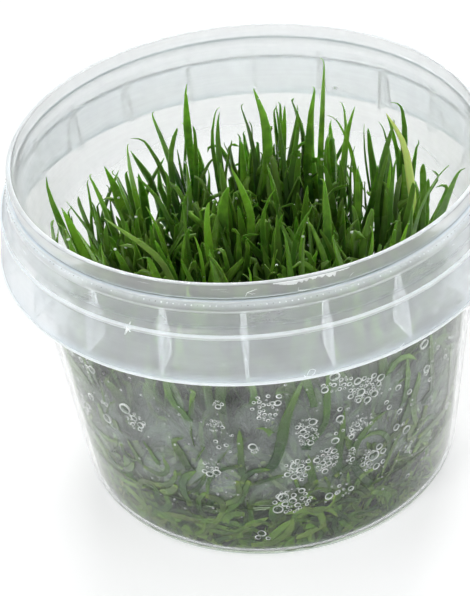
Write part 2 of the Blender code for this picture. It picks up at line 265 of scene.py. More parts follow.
RIBS = 20
FIRST_RIB_ANGLE = -94.0
RIB_ROWS = 18
RIB_COLUMNS = 12
RIB_WALL_DEPTHS = (6.2, 17.3)    # where a rib's inner edge starts and ends
RIB_OUTER_RADII = (47.44, 47.86, 49.22, 49.66, 50.13, 50.56)
RIB_OUTER_DEPTHS = (6.1, 9.0, 10.75, 12.6, 15.6, 18.6)
RIB_HALF_THICKNESS = 0.36
RIB_FLARE = 0.15                 # thicker by this where it meets a wall
RIB_FLARE_LENGTH = 0.3
RIB_LEDGE_DEPTH = 10.0           # where it meets the ledge, and is thicker again
RIB_LEDGE_SPAN = 0.7
RIB_LEDGE_FLARE = 0.3
RIB_THIN_FROM = 12.0             # deeper down it gets thinner
RIB_THIN_SPAN = 6.4
RIB_THINNING = 0.35
RIB_GAP = 0.03                   # so that the two skins don't lie in one another
RIB_MILK = 0.22
RIB_EDGE_MILK = 0.12             # whiter by this where it meets a wall
RIB_EDGE_MILK_LENGTH = 0.2
RIB_LEDGE_MILK = 0.1
RIB_FOOT_MILK = 0.4
BEADS = 268
BEAD_SEED = 3
BEAD_MILK = (0.15, 0.95)
BEAD_CIRCLE = 48.13
BEAD_DEPTH = 4.1
BEAD_RADIUS = 0.145

# How milky the outside is down to each depth: the thick parts and edges are whiter.
OUTSIDE_MILK = (
    (0.12, 0.55), (3.0, 0.23), (3.57, 0.65), (3.95, 0.60), (5.7, 0.27), (8.6, 0.10), (9.8, 0.80),
    (10.4, 0.40), (19.2, 0.15), (math.inf, 0.70),
)
MILK_WHERE_WET = 0.010
MILK_WHERE_DRY = 0.16
# Painted light: milk added at the foot's outer edge, under a green tint, for the leaves' light that
# the plastic carries there.
PAINTED_FOOT_MILK = 0.6
MILK_UNDER_LEDGE = 0.13
WET_TOP = 47.0
DRY_FROM = 55.0
LEDGE_EDGE = 49.7
FOOT_EDGE = 2.8

Corner = namedtuple("Corner", "radius height round")


def wall_radius(height):
    """Outer radius of the tapered body, in millimetres."""
    return FOOT_RADIUS + WALL_FLARE * height


def below_rim(depth):
    return CUP_HEIGHT - depth


def level(angle):
    """The level direction at an angle round the axis, from the right."""
    return Vector((math.cos(angle), math.sin(angle), 0.0))


def spot(angle, radius, height):
    """A point at an angle round the axis, with its radius and height in millimetres."""
    return Vector((radius * math.cos(angle), radius * math.sin(angle), height)) * MM


class Skin:
    """A mesh in the making: points, faces, and the marks that the finish reads at each point."""

    def __init__(self):
        self.points = []
        self.faces = []
        self.marks = {}

    def add_tube(self, rings, ends="flat", **marks):
        """Rings of equally many points, joined. Its ends are closed flat, or in a loop, or each
        to a pole. A mark is one value, or one for each point or ring, or for each point of a
        ring."""
        start = len(self.points)
        sides = len(rings[0])
        last = start + (len(rings) - 1) * sides
        for ring in rings:
            self.points += ring
        for name, value in marks.items():
            values = np.broadcast_to(value, (len(rings), sides)).ravel()
            self.marks.setdefault(name, []).extend(values)
        for low in range(start, last + sides if ends == "loop" else last, sides):
            high = start if low == last else low + sides
            for side in range(sides):
                after = (side + 1) % sides
                self.faces.append((low + side, low + after, high + after, high + side))
        if ends == "flat":
            self.faces.append(tuple(range(start + sides - 1, start - 1, -1)))
            self.faces.append(tuple(range(last, last + sides)))
        elif ends != "loop":
            pole = len(self.points)
            self.points += ends
            for name in marks:
                self.marks[name] += [0.0, 0.0]
            for side in range(sides):
                after = (side + 1) % sides
                self.faces.append((pole, start + after, start + side))
                self.faces.append((pole + 1, last + side, last + after))

    def to_mesh(self, name, outwards=False):
        mesh = bpy.data.meshes.new(name)
        mesh.from_pydata([tuple(point) for point in self.points], [], self.faces)
        for mark, values in self.marks.items():
            mesh.attributes.new(mark, "FLOAT", "POINT").data.foreach_set("value", values)
        if outwards:
            shape = bmesh.new()
            shape.from_mesh(mesh)
            bmesh.ops.recalc_face_normals(shape, faces=shape.faces)
            shape.to_mesh(mesh)
            shape.free()
        mesh.update()
        mesh.shade_smooth()
        return mesh


def cup_corners():
    """The outline of the wall from the middle of the inner floor, over the lip, down the skirt
    and back under it, to the middle of the foot."""
    collar = [Corner(radius, below_rim(depth), round) for radius, depth, round in COLLAR_CORNERS]
    root = below_rim(COLLAR_ROOT)
    return [
        Corner(0.0, INNER_FLOOR, 0.0),
        Corner(wall_radius(INNER_FLOOR) - WALL, INNER_FLOOR, CORNER_ROUND),
        Corner(wall_radius(CUP_HEIGHT / 2) - WALL, CUP_HEIGHT / 2, 0.0),
        Corner(wall_radius(CUP_HEIGHT) - WALL, CUP_HEIGHT, 0.22),
        *collar,
        Corner(wall_radius(root), root, 0.2),
        Corner(wall_radius(30.0), 30.0, 0.0),
        Corner(wall_radius(0.0), 0.0, 4.0),
        Corner(FOOT_RING_INNER, 0.0, 0.2),
        Corner(FOOT_RING_INNER - FOOT_RECESS, FOOT_RECESS, 0.2),
        Corner(0.0, FOOT_RECESS, 0.0),
    ]


def rounded_outline(corners, longest=2.5):
    """Points along an outline, with each corner turned in a short curve and long runs parted."""
    points = [np.array(corners[0][:2])]
    for before, corner, after in zip(corners, corners[1:], corners[2:]):
        here = np.array(corner[:2])
        back = before[:2] - here
        ahead = after[:2] - here
        start = here + back * min(corner.round / np.linalg.norm(back), 0.5)
        end = here + ahead * min(corner.round / np.linalg.norm(ahead), 0.5)
        for share in np.linspace(0.0, 1.0, CURVE_STEPS + 1) if corner.round else (0.0,):
            rest = 1.0 - share
            points.append(rest ** 2 * start + 2 * rest * share * here + share ** 2 * end)
    points.append(np.array(corners[-1][:2]))
    fine = [points[0]]
    for low, high in zip(points, points[1:]):
        parts = max(1, math.ceil(math.dist(low, high) / longest))
        fine += [low + (high - low) * part / parts for part in range(1, parts + 1)]
    return fine


def turned_mesh(name, outline, segments):
    """The outline turned about the axis. It starts and ends on the axis."""
    turns = [-math.tau * index / segments for index in range(segments)]
    skin = Skin()
    skin.add_tube([[spot(turn, *point) for turn in turns] for point in outline[1:-1]],
                  [spot(0.0, *outline[0]), spot(0.0, *outline[-1])])
    return skin.to_mesh(name)


def rib_rows():
    """Half a rib, in rows from its top down, each from the body out to the skirt: radius, depth,
    half thickness and milk. It is thicker and whiter where it meets a wall."""
    rows = []
    for place in np.linspace(0.0, 1.0, RIB_ROWS + 1):
        wall_depth = np.interp(place, (0.0, 1.0), RIB_WALL_DEPTHS)
        wall_point = np.array((wall_radius(below_rim(wall_depth)) + RIB_GAP, wall_depth))
        marks = np.linspace(0.0, 1.0, len(RIB_OUTER_RADII))
        run = np.array([np.interp(place, marks, line)
                        for line in (RIB_OUTER_RADII, RIB_OUTER_DEPTHS)]) - wall_point
        row = []
        for column in range(RIB_COLUMNS + 1):
            across = 0.5 - 0.5 * math.cos(math.pi * column / RIB_COLUMNS)
            radius, depth = wall_point + run * across
            near = min(across, 1.0 - across) * np.linalg.norm(run)
            from_ledge = abs(depth - RIB_LEDGE_DEPTH)
            ledge = math.exp(-from_ledge / RIB_LEDGE_SPAN) if across > 0.5 else 0.0
            flare = RIB_FLARE * math.exp(-near / RIB_FLARE_LENGTH) + RIB_LEDGE_FLARE * ledge
            thinned = RIB_THINNING * max(0.0, depth - RIB_THIN_FROM) / RIB_THIN_SPAN
            edge_milk = RIB_EDGE_MILK * math.exp(-near / RIB_EDGE_MILK_LENGTH)
            milk = RIB_MILK + edge_milk + RIB_LEDGE_MILK * ledge
            row.append((radius, depth, (RIB_HALF_THICKNESS + flare) * (1.0 - thinned),
                        milk if place < 1.0 else RIB_FOOT_MILK))
        rows.append(row)
    return rows


def rib_mesh():
    """All ribs in one mesh. Each ring runs out along one side of a rib and back on the other."""
    skin = Skin()
    rows = rib_rows()
    for index in range(RIBS):
        angle = math.radians(FIRST_RIB_ANGLE + 360.0 * index / RIBS)
        side = level(angle + math.pi / 2) * MM
        rings = [[spot(angle, radius, below_rim(depth)) + side * hand * half
                  for hand, line in ((1.0, row), (-1.0, row[::-1]))
                  for radius, depth, half, milk in line] for row in rows]
        skin.add_tube(rings, haze=[[point[3] for point in row + row[::-1]] for row in rows])
    return skin.to_mesh("ribs", outwards=True)


def bead_mesh():
    """The row of tiny white beads under the shoulder of the collar, some faint, some bright."""
    draw = random.Random(BEAD_SEED)
    shape = bmesh.new()
    haze = shape.verts.layers.float.new("haze")
    for index in range(BEADS):
        place = spot(math.tau * index / BEADS, BEAD_CIRCLE, below_rim(BEAD_DEPTH))
        bead = bmesh.ops.create_icosphere(shape, subdivisions=1, radius=BEAD_RADIUS * MM,
                                          matrix=Matrix.Translation(place))
        milk = draw.uniform(*BEAD_MILK)
        for point in bead["verts"]:
            point[haze] = milk
    return mesh_of(shape, "beads")


def haze_at(radius, height):
    """How milky the wall looks, from 0 for clear to 1 for white. The body is clear where its
    inside is wet; at the foot's outer edge milk is added as painted light."""
    depth = CUP_HEIGHT - height
    out = radius - wall_radius(height)
    if depth >= OUTSIDE_MILK[0][0] and (out < -0.5 or (out < 0.2 and depth > 5.0)):
        milk = float(np.interp(height, (WET_TOP, DRY_FROM), (MILK_WHERE_WET, MILK_WHERE_DRY)))
        return milk + PAINTED_FOOT_MILK * painted_foot_green(radius, height)
    if 8.6 <= depth < 10.7 and radius < LEDGE_EDGE:
        return MILK_UNDER_LEDGE
    return next(milk for foot, milk in OUTSIDE_MILK if depth < foot)


def painted_foot_green(radius, height):
    """How much painted light the foot's outer edge has: 1 at its outer lower edge, down to 0 above
    it and inside. There milk and a green tint are painted for the light of the leaves on it that
    the plastic carries."""
    outside = height < INNER_FLOOR - 0.01 or radius - wall_radius(height) > -0.95
    return max(0.0, 1.0 - height / FOOT_EDGE) if outside else 0.0


def shade_at(radius, height):
    """Which tint the milk has: 0 on the body; 0.5 on collar and skirt, a darker blue-grey that is a
    painted reflection of a darker room in front; 0.75 in the lid's groove, a dark painted shade, as
    little light comes there; and towards 1 at the foot, a painted green of the leaves' light."""
    depth = CUP_HEIGHT - height
    if 3.0 < depth < 3.57 and radius < 47.1:
        return 0.75
    if depth < 0.3 or 3.57 <= depth < 5.7 or 9.4 < depth < 10.4 or depth > 19.2 and height > 50.0:
        return 0.15
    collar = radius - wall_radius(height) > 0.2 and height > 50.0
    return 0.5 if collar else painted_foot_green(radius, height)


def mark_milk(mesh):
    for name, value_at in (("haze", haze_at), ("shade", shade_at)):
        values = [value_at(math.hypot(point.co.x, point.co.y) / MM, point.co.z / MM)
                  for point in mesh.vertices]
        mesh.attributes.new(name, "FLOAT", "POINT").data.foreach_set("value", values)


def clear_plastic():
    """Milky see-through plastic: the haze hides part of what is behind it, most where it is
    looked through at a slant, and the moulded surface is a little uneven."""
    plastic = Finish("clear_polypropylene")
    patches = plastic.ranged(plastic.noise(90.0, 4.0), (0.35, 0.65), (1.08, 0.86))
    slant = plastic.add("LayerWeight", {"Blend": 0.5}, "Facing")
    flat_place = plastic.add("Mapping", {"Vector": plastic.place(), "Scale": (0.05, 0.05, 1.0)})
    streaks = plastic.add("TexNoise", {"Vector": flat_place, "Scale": 1800.0, "Detail": 3.0})
    streaky = plastic.math("MULTIPLY", patches, plastic.ranged(streaks, (0.3, 0.7), (0.97, 1.03)))
    uneven = plastic.math("MULTIPLY", plastic.ranged(slant, (0.35, 1.0), (1.0, 2.6)), streaky)
    milk = plastic.math("MULTIPLY", plastic.mark("haze"), uneven)
    # The tints at 0.5, 0.75 and 1 are painted light: a reflection of a darker room on collar and
    # skirt, shade in the lid's groove, and the leaves' green at the foot.
    tint = plastic.ramp(plastic.mark("shade"), (0.0, 0.88, 0.92, 0.92), (0.5, 0.52, 0.64, 0.76),
                        (0.75, 0.20, 0.25, 0.24), (1.0, 0.30, 0.42, 0.24))
    return plastic.dress({
        "Transmission Weight": plastic.left_from_one(milk),
        "Base Color": plastic.mix(milk, (0.93, 0.94, 0.94, 1.0), tint),
        "Roughness": plastic.ranged(milk, (0.0, 0.35), (0.02, 0.13)),
        "Normal": plastic.bump(streaks, 0.008, 0.1),
        "IOR": 1.22,
        "Specular IOR Level": 0.15,
        "Subsurface Weight": 1.0,
        "Subsurface Radius": (1.0, 1.0, 1.0),
        "Subsurface Scale": 1.5 * MM,
    })


def make_cup():
    wall = turned_mesh("culture_cup", rounded_outline(cup_corners(), longest=2.4), CUP_SEGMENTS)
    mark_milk(wall)
    plastic = clear_plastic()
    for name, mesh in (("culture_cup", wall), ("cup_ribs", rib_mesh()),
                       ("cup_beads", bead_mesh())):
        mesh.shade_smooth()
        mesh.set_sharp_from_angle(angle=math.radians(40.0))
        piece = add_piece(name, mesh, plastic)
        let_light_in(piece)
        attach(piece, "root")
        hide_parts("cup")


make_cup()


# The scuffs and torn bits
# Where the lid was torn off and the cup was handled, the plastic's edges are rough: white frayed
# bits hang from the lip, a burr stands on the ledge, and fine scratches lie here and there.
OUTER_DEPTHS = (0.0, 2.95, 3.05, 3.45, 3.5, 5.6, 8.5, 9.55, 9.6, 10.25, 10.5, 19.2, 19.9)
OUTER_RADII = (47.5, 47.5, 47, 47, 48.05, 48.2, 48.55, 49.75, 50.12, 50.12, 50.02, 51.36, 51.5)
FRAY_LIFT = 0.05                 # how far the bits stand off the plastic, in millimetres
FRAY_TOP = 0.22
SCUFF_MILK = 0.5

# How deep the frayed lower edge of the lip's white line hangs: azimuth in degrees from the front
# and depth in millimetres.
FRAYED_EDGE = (
    (3.0, 0.30), (3.6, 0.42), (4.5, 0.70), (6.3, 0.95), (7.9, 1.10), (8.4, 0.62), (9.3, 1.05),
    (9.6, 0.62), (10.3, 0.95), (10.8, 0.33), (11.5, 0.75), (12.2, 0.66), (12.6, 0.36),
    (13.6, 0.76), (14.4, 0.33), (15.2, 1.20), (16.0, 0.80), (16.5, 1.35), (16.9, 0.30),
    (18.5, 0.42), (20.0, 0.30),
)

# Scratches and threads of plastic as lines of (azimuth, depth) spots on the outside, with their
# half thickness in millimetres.
SCRATCHES = (
    (((-3.1, 2.5), (-2.6, 1.7), (-1.4, 1.35), (-0.5, 1.05)), 0.07),
    (((-2.6, 1.7), (-1.6, 2.1), (-0.9, 2.0)), 0.05),
    (((8.4, 1.9), (8.2, 2.5), (9.2, 2.75), (11.2, 2.8)), 0.07),
    (((19.8, 2.3), (20.3, 1.9), (20.9, 1.6)), 0.05),
    (((7.9, 19.2), (8.3, 18.5), (8.7, 18.0), (9.4, 17.9), (9.9, 18.3), (9.5, 18.9), (8.9, 19.2)),
     0.06),
    (((7.4, 18.9), (7.9, 19.3), (8.4, 19.6)), 0.12),
    (((26.9, 19.6), (27.6, 19.9), (28.6, 19.2), (29.8, 18.6)), 0.08),
    (((-29.9, 11.6), (-29.4, 10.7), (-29.0, 9.9), (-28.7, 9.1)), 0.24),
    (((-30.0, 10.0), (-29.2, 10.2), (-28.2, 9.9)), 0.26),
    (((-29.5, 9.5), (-29.0, 10.2), (-28.5, 10.8)), 0.22),
)
WALL_SCRATCH = ((124.6, 54.9), (120.5, 55.0), (117.0, 54.3), (114.3, 53.2))
WALL_SCRATCH_THICKNESS = 0.08
FINE_SCRATCHES = 46
FINE_SCRATCH_THICKNESSES = (0.015, 0.035)
SCUFF_SEED = 23
THREAD_SIDES = 5
THREAD_END = 0.45                # how thick a thread is at its ends
THREAD_FLATNESS = 0.6


def front_angle(azimuth):
    """The angle round the axis for an azimuth in degrees from the front."""
    return math.radians(azimuth - 90.0)


def on_outside(azimuth, depth, lift):
    """A point on the outside of lip, collar or skirt."""
    radius = float(np.interp(depth, OUTER_DEPTHS, OUTER_RADII)) + lift
    return spot(front_angle(azimuth), radius, below_rim(depth))


def add_thread(skin, points, thickness):
    """A thin tube through points, finer towards its ends."""
    turns = [math.tau * side / THREAD_SIDES for side in range(THREAD_SIDES)]
    rings = []
    last = len(points) - 1
    for index, point in enumerate(points):
        ahead = (points[min(index + 1, last)] - points[max(index - 1, 0)]).normalized()
        outward = Vector((point.x, point.y, 0.0)).normalized()
        across = ahead.cross(outward).normalized()
        reach = thickness * MM * (THREAD_END if index in (0, last) else 1.0)
        out = outward * THREAD_FLATNESS
        rings.append([point + (across * math.cos(turn) + out * math.sin(turn)) * reach
                      for turn in turns])
    skin.add_tube(rings, haze=SCUFF_MILK)


def add_frayed_edge(skin, draw):
    """A closed ragged sheet on the upper outer edge of the lip."""
    azimuths = np.arange(FRAYED_EDGE[0][0], FRAYED_EDGE[-1][0], 0.15)
    rings = []
    for azimuth, depth in zip(azimuths, np.interp(azimuths, *zip(*FRAYED_EDGE))):
        ragged = max(0.2, depth + draw.uniform(-0.09, 0.09))
        rings.append([on_outside(azimuth, place, lift)
                      for place, lift in ((FRAY_TOP, -0.1), (FRAY_TOP, FRAY_LIFT),
                                          (ragged, FRAY_LIFT), (ragged, -0.1))])
    skin.add_tube(rings, haze=SCUFF_MILK)


def make_scuffs():
    draw = random.Random(SCUFF_SEED)
    skin = Skin()
    add_frayed_edge(skin, draw)
    for spots, thickness in SCRATCHES:
        add_thread(skin, [on_outside(*place, FRAY_LIFT) for place in spots], thickness)
    for scratch in range(FINE_SCRATCHES):
        azimuth = draw.uniform(-60.0, 300.0)
        depth = draw.choice((draw.uniform(0.6, 2.8), draw.uniform(5.8, 8.4)))
        length = draw.uniform(0.8, 5.0)
        tilt = draw.uniform(-0.25, 0.25)
        add_thread(skin, [on_outside(azimuth + share * length, depth + share * tilt, 0.0)
                          for share in (-0.5, 0.0, 0.5)], draw.uniform(*FINE_SCRATCH_THICKNESSES))
    add_thread(skin, [spot(front_angle(azimuth), wall_radius(height) - WALL - 0.02, height)
                      for azimuth, height in WALL_SCRATCH], WALL_SCRATCH_THICKNESS)
    mesh = skin.to_mesh("scuffs", outwards=True)
    mesh.shade_flat()
    scuffs = add_piece("scuffs_on_cup", mesh, bpy.data.materials["clear_polypropylene"])
    let_light_in(scuffs)
    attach(scuffs, "root")


make_scuffs()


# The jelly
# Clear nutrient jelly poured hot into the bottom of the cup: it has crept up the wall in a low
# rim as it set, and it holds a few specks of air.
JELLY_TOP = 14.0                 # millimetres, as are all sizes of the jelly
JELLY_RIM = 1.0                  # how far it creeps up the wall
JELLY_GAP = 0.03
JELLY_SEGMENTS = 120


def jelly_outline():
    reach = wall_radius(JELLY_TOP) - WALL - JELLY_GAP
    floor = INNER_FLOOR + JELLY_GAP
    return rounded_outline((
        Corner(0.0, JELLY_TOP, 0.0),
        Corner(reach - 1.6, JELLY_TOP, 1.2),
        Corner(reach + 0.09, JELLY_TOP + JELLY_RIM, 0.05),
        Corner(wall_radius(INNER_FLOOR) - WALL - JELLY_GAP, floor, CORNER_ROUND),
        Corner(0.0, floor, 0.0),
    ))


def clear_jelly():
    jelly = Finish("nutrient_jelly")
    cloud = jelly.noise(160.0, 5.0)
    return jelly.dress({
        "Base Color": jelly.ramp(cloud, (0.35, 0.66, 0.80, 0.55), (0.65, 0.78, 0.89, 0.66)),
        "Normal": jelly.bump(cloud, 0.05, 0.1),
        "Roughness": 0.06,
        "IOR": 1.34,
        "Specular IOR Level": 0.1,
        "Transmission Weight": 1.0,
    })


def make_jelly():
    mesh = turned_mesh("nutrient_jelly", jelly_outline(), JELLY_SEGMENTS)
    jelly = add_piece("nutrient_jelly", mesh, clear_jelly())
    let_light_in(jelly)
    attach(jelly, "root")
    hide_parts("nutrient_gel")


make_jelly()


# The plantlets
# Each plantlet is a crown on the jelly with roots in it and some sixty strap leaves. Four are
# those that the solid model plans. Finer ones fill in between them, lie low over the jelly, or
# are pressed on the wall.
TUFTS = 34
TURF_RADIUS = 35.5 * MM
GOLDEN_ANGLE = math.radians(137.508)
CROWN_TOP = 17.0 * MM
ROOT_BOTTOM = 8.5 * MM
LEAVES_PER_TUFT = 4
LEAF_WIDTH = 1.9 * MM
LEAF_ROOT_OFFSET = 1.1 * MM
LEAF_ROOT_DEPTH = 0.9 * MM
LEAF_UPRIGHT = 0.35
LEAF_LEANING = 0.30
LEAF_HEIGHTS = (44.0 * MM, 63.0 * MM)
LEAF_REACHES = (1.5 * MM, 7.0 * MM)
LEAF_SPLAYS = (0.0, 0.45)
LEAF_TWIST = math.radians(35.0)
LEAF_CLEARANCE = 2.0 * MM
TALL_LEAF_CHOICES = 6
TALL_LEAF_TWIST = math.radians(40.0)
TALL_LEAF_OUTWARD = 0.1
TALL_LEAF_SPREAD = 0.86
PLANTING_TRIES = 200
COURSE_STEPS = 24
PLANNING_SEED = 7
GROWTH_SEED = 31
TO_FRONT = -math.pi / 2

Leaf = namedtuple("Leaf", "slot root tip lean facing looks", defaults=(None,))
Looks = namedtuple("Looks", "width bluntness tone bow")

# The leaves that stand out above the turf: tip x, y, z in millimetres, how far the leaf leans to
# the right for each millimetre that it rises there, its width in millimetres, how blunt it is,
# its tone, and how far it bows to the right below its tip.
TALL_LEAVES = (
    (30, 24.5, 64, -0.3, 1.3, 0.1, 0.6, 0), (30.5, 19, 70, -0.3, 1.6, 0, 0.35, 1.6),
    (-40.8, 5.5, 68, -0.05, 1.7, 0, 0.55, 0), (-39.6, 3, 58, -0.2, 1.2, 0.4, 0.25, 0.6),
    (-38.7, 4.5, 61, -0.25, 2.4, 0, 1.1, 0), (-36.8, -1, 66, -0.55, 1.1, 0, 0.35, 0),
    (-35.5, 9.5, 60, -0.25, 1.6, 0.8, 0.35, 0), (-32.8, 4.5, 62, -0.1, 1.3, 0.1, 0.2, 0.5),
    (-32.5, 14.5, 62, -0.2, 1.7, 0, 0.95, -0.9), (-30, 17, 62, -0.3, 2.6, 0, 0.65, 0),
    (-27.5, 12.5, 62, -0.2, 1.4, 0.1, 0.7, 0), (-24.5, 18.5, 66, 0.1, 2.4, 0, 1, 0),
    (-24.5, 27, 62, -0.7, 1.3, 0, 0.15, 2.2), (-23.5, 15, 60, -0.9, 1.3, 0.1, 0.3, 0),
    (-19, 30.5, 66, -0.3, 2, 0, 0.65, -0.8), (-14.5, 29.5, 62, 0.35, 1.5, 0.6, 0.5, 0),
    (-11.5, 34, 70, 0.1, 2, 0, 0.7, 0), (-11, 26.5, 64, 0, 1.6, 0.5, 0.45, 0),
    (-5, 33, 64, 0.45, 1.1, 0, 0.65, -0.5), (-5, 24.5, 68, 0.15, 1.7, 0, 0.4, 0),
    (-3, 22.5, 62, 0.35, 1.3, 0.9, 0.35, 0), (0.2, 32, 65, -0.3, 2, 0, 0.2, -0.9),
    (2.5, 33, 68, -0.4, 2.6, 0, 0.85, 0), (7, 29, 66, -0.1, 1.2, 0, 0.2, 0),
    (9, 34.5, 62, 0.1, 1.3, 0.4, 0.75, 0), (11.5, 28, 64, 0.05, 1.5, 0.1, 0.2, 0),
    (15, 31.5, 68, 0.35, 2, 0, 0.75, 0.9), (14.5, 34, 60, 0.1, 2.4, 0.4, 1.1, 0),
    (17, 29.5, 75.9, 0.1, 1.7, 0, 0.85, 0.7), (17.5, 22.5, 66, -0.7, 1, 0, 0.9, 0.8),
    (20.5, 27.5, 66, -0.2, 1.3, 0, 0.8, 0.4), (23.5, 25, 66, 0.4, 1.6, 0.1, 0.7, 0),
    (17.5, 22, 62, 0.2, 1, 0, 0.3, 0), (22.5, 16, 62, 0.2, 0.9, 0, 0.2, 0),
    (25, 21, 64, 0.1, 0.9, 0, 0.4, 0), (26, 24, 61, 0, 1.7, 0.4, 0.3, 0),
    (28, 21.5, 64, -0.6, 1.1, 0, 0.35, 0), (30.5, 15.5, 68, 0.35, 2, 0, 0.2, 0.4),
    (29.5, 14, 62, 0.4, 1.3, 0.1, 0.4, 0), (30, 4.5, 66, 0.2, 1.3, 0.1, 0.45, 0),
    (33, 3.5, 60, 0.1, 1.5, 0.8, 0.15, 0), (35.5, 5.5, 63, 0, 1.6, 0.9, 0.4, 0),
    (39.5, -3.5, 68, 0.8, 1.5, 0, 0.65, 0), (42, -8, 70, 0.45, 2.7, 0, 0.4, -1),
    (-8.5, 0, 62, 0.25, 2.1, 0.3, 0.95, 0), (-4.5, 8, 60, 0.3, 3.1, 0.3, 0.55, 0),
    (-3.5, 9.5, 64, -0.45, 1.9, 0, 0.9, 0), (5, 2.5, 62, 0.65, 1.3, 0, 0.55, 0),
    (12, -4.5, 62, 0.7, 1.4, 0.1, 0.4, 0), (22.5, 8.5, 62, 0, 1.8, 0, 0.55, 0),
    (14, -1, 66, 0, 2.3, 0, 0.6, 1), (-21.5, 3.5, 60, -0.35, 1.9, 0.1, 1.05, 0),
    (30.5, -12.5, 62, 0.35, 1.4, 0, 0.7, 0),
)

# Leaves that only the finished plantlets have, in the same way.
TRACED_LEAVES = (
    (32.1, 13.6, 58, 0, 2.2, 0.3, 0.3, 0), (36.3, 4.4, 60, 0.1, 2.1, 0.4, 0.6, 0),
    (29.6, 12.6, 60, 0.25, 1.3, 0, 1.1, 0), (6.3, -0.2, 58, 0.5, 1.6, 0.1, 0.4, 0),
    (10, -4.7, 57, 0.3, 1.1, 0.1, 0.6, 0), (-1.8, -17.9, 58, 0, 1.2, 0.2, 0.9, 0),
    (-13.8, 1.1, 60, 0, 1.6, 0.2, 0.35, 0), (-21.4, -11.3, 58, -0.4, 2.4, 0.4, 0.55, 0),
    (-12.2, -5.4, 58, -0.3, 0.9, 0.2, 1.1, 0), (-13.6, -2.1, 57, 0.3, 1, 0.1, 0.7, 0),
    (-19.9, -6, 58, -0.4, 1.6, 0.3, 0.6, 0), (-12.4, 12.4, 60, 0.6, 1, 0.1, 0.4, 0.6),
    (23.3, 11.4, 56, 0.1, 1.8, 0.3, 0.2, 0), (20.4, 3.3, 56, -0.1, 2, 0.3, 0.3, 0),
    (24, -2.3, 57, 0.2, 1.9, 0.3, 0.3, 0), (19.3, 17.4, 58, 0, 1.6, 0.2, 0.2, 0),
    (32.2, -1.5, 58, 0.1, 1.8, 0.2, 0.35, 0), (28.7, -7, 58, 0.3, 1.6, 0.2, 0.5, 0),
    (-36.2, 1.1, 58, -0.4, 2.2, 0.1, 1.1, 0), (37.6, -3.6, 60, 0.3, 1.5, 0.2, 0.4, 0),
    (-39.5, 6.3, 57, -0.1, 1.3, 0.3, 0.4, 0), (12, 12, 56, 0.2, 1.8, 0.1, 0.2, 0),
    (17, -12, 57, 0.3, 1.7, 0.1, 0.35, 0), (27.5, 6.5, 57, -0.2, 1.7, 0.1, 0.25, 0),
    (-32.5, 8.8, 56, -0.1, 2, 0.1, 0.25, 0), (-30.2, 4.4, 56, 0.1, 2.1, 0.2, 0.3, 0),
    (-27.8, 7.7, 57, -0.3, 2, 0, 0.2, 0.5), (-25.9, 4.8, 56, 0.2, 2.2, 0.1, 0.35, 0),
    (-33.8, 0.7, 56, -0.3, 1.9, 0.1, 0.6, 0), (-31.1, -2.2, 56, 0, 2.2, 0.2, 0.3, 0),
    (-25.1, 0.8, 55, -0.2, 2.1, 0.1, 0.25, 0), (-29, -2.1, 55, -0.4, 2, 0.1, 0.5, 0),
    (-23.1, 7.7, 57, 0.3, 1.8, 0, 0.2, -0.6), (-21.1, 2.6, 56, 0, 2.2, 0.2, 0.3, 0),
    (-37.2, 7, 57, 0.1, 1.7, 0.2, 0.3, 0), (-38.2, 0, 57, -0.1, 1.9, 0.1, 0.7, 0),
    (11.3, 24.2, 57, 0.2, 1.8, 0.1, 0.2, 0), (15.1, 17.7, 57, -0.2, 2, 0, 0.25, 0.8),
    (20.7, 21.1, 58, 0.1, 1.7, 0.1, 0.2, 0), (27, 14.2, 58, 0.2, 1.9, 0.2, 0.3, 0),
    (-32, 11.2, 52, 0.1, 2.4, 0.3, 0.3, 0), (-30.3, 5.8, 52, -0.2, 2.5, 0.2, 0.5, 0),
    (-28.4, 10, 54, 0, 2.3, 0.2, 0.2, 0), (-33.3, 7.7, 50, 0.2, 2.5, 0.3, 0.4, 0),
    (-34.8, 10.8, 50, 0, 2.2, 0.2, 0.6, 0), (-27.6, 4, 52, -0.1, 2.5, 0.3, 0.3, 0),
    (-25.2, 7.2, 53, 0.1, 2.3, 0.2, 0.2, 0), (-5.2, 13.7, 54, 0, 2.1, 0.2, 0.1, 0),
    (-2.9, 9.6, 54, -0.1, 2.1, 0.2, 0.15, 0), (-29.7, 3.5, 50, 0.2, 2.4, 0.3, 0.5, 0),
)


class Plantlet(Skin):
    """The skin of one plantlet, with its planned leaves and the spots where drops hang on it."""

    def __init__(self, crown):
        super().__init__()
        self.crown = crown
        self.planned = []
        self.wet_spots = []


def crown_places():
    spread = TURF_RADIUS / math.sqrt(TUFTS - 0.5)
    return [level(GOLDEN_ANGLE * index) * spread * math.sqrt(index + 0.5)
            for index in range(TUFTS)]


def by_nearness(plants, spot):
    """The plantlets, from the one whose crown is nearest below or above a spot."""
    foot = Vector((spot[0], spot[1], 0.0))
    return sorted(plants, key=lambda plant: (plant.crown - foot).length)


def course(leaf, along):
    """Point on a leaf's middle line, from 0 at the crown to 1 at the tip."""
    rise = leaf.tip.z - leaf.root.z
    first = leaf.root + Vector((0.0, 0.0, LEAF_UPRIGHT * rise))
    last = leaf.tip - LEAF_LEANING * rise * Vector((leaf.lean.x, leaf.lean.y, 1.0))
    back = 1.0 - along
    return (back ** 3 * leaf.root + 3 * back ** 2 * along * first
            + 3 * back * along ** 2 * last + along ** 3 * leaf.tip)


def course_points(leaf):
    return np.array([course(leaf, step / COURSE_STEPS) for step in range(COURSE_STEPS + 1)])


def is_clear(leaf, plant, plants):
    """Whether a leaf keeps clear of the planned leaves of all other plantlets."""
    others = [course_points(other) for near in plants if near is not plant
              for other in near.planned]
    if not others:
        return True
    gaps = np.concatenate(others)[:, None] - course_points(leaf)[None]
    return np.linalg.norm(gaps, axis=2).min() > LEAF_CLEARANCE


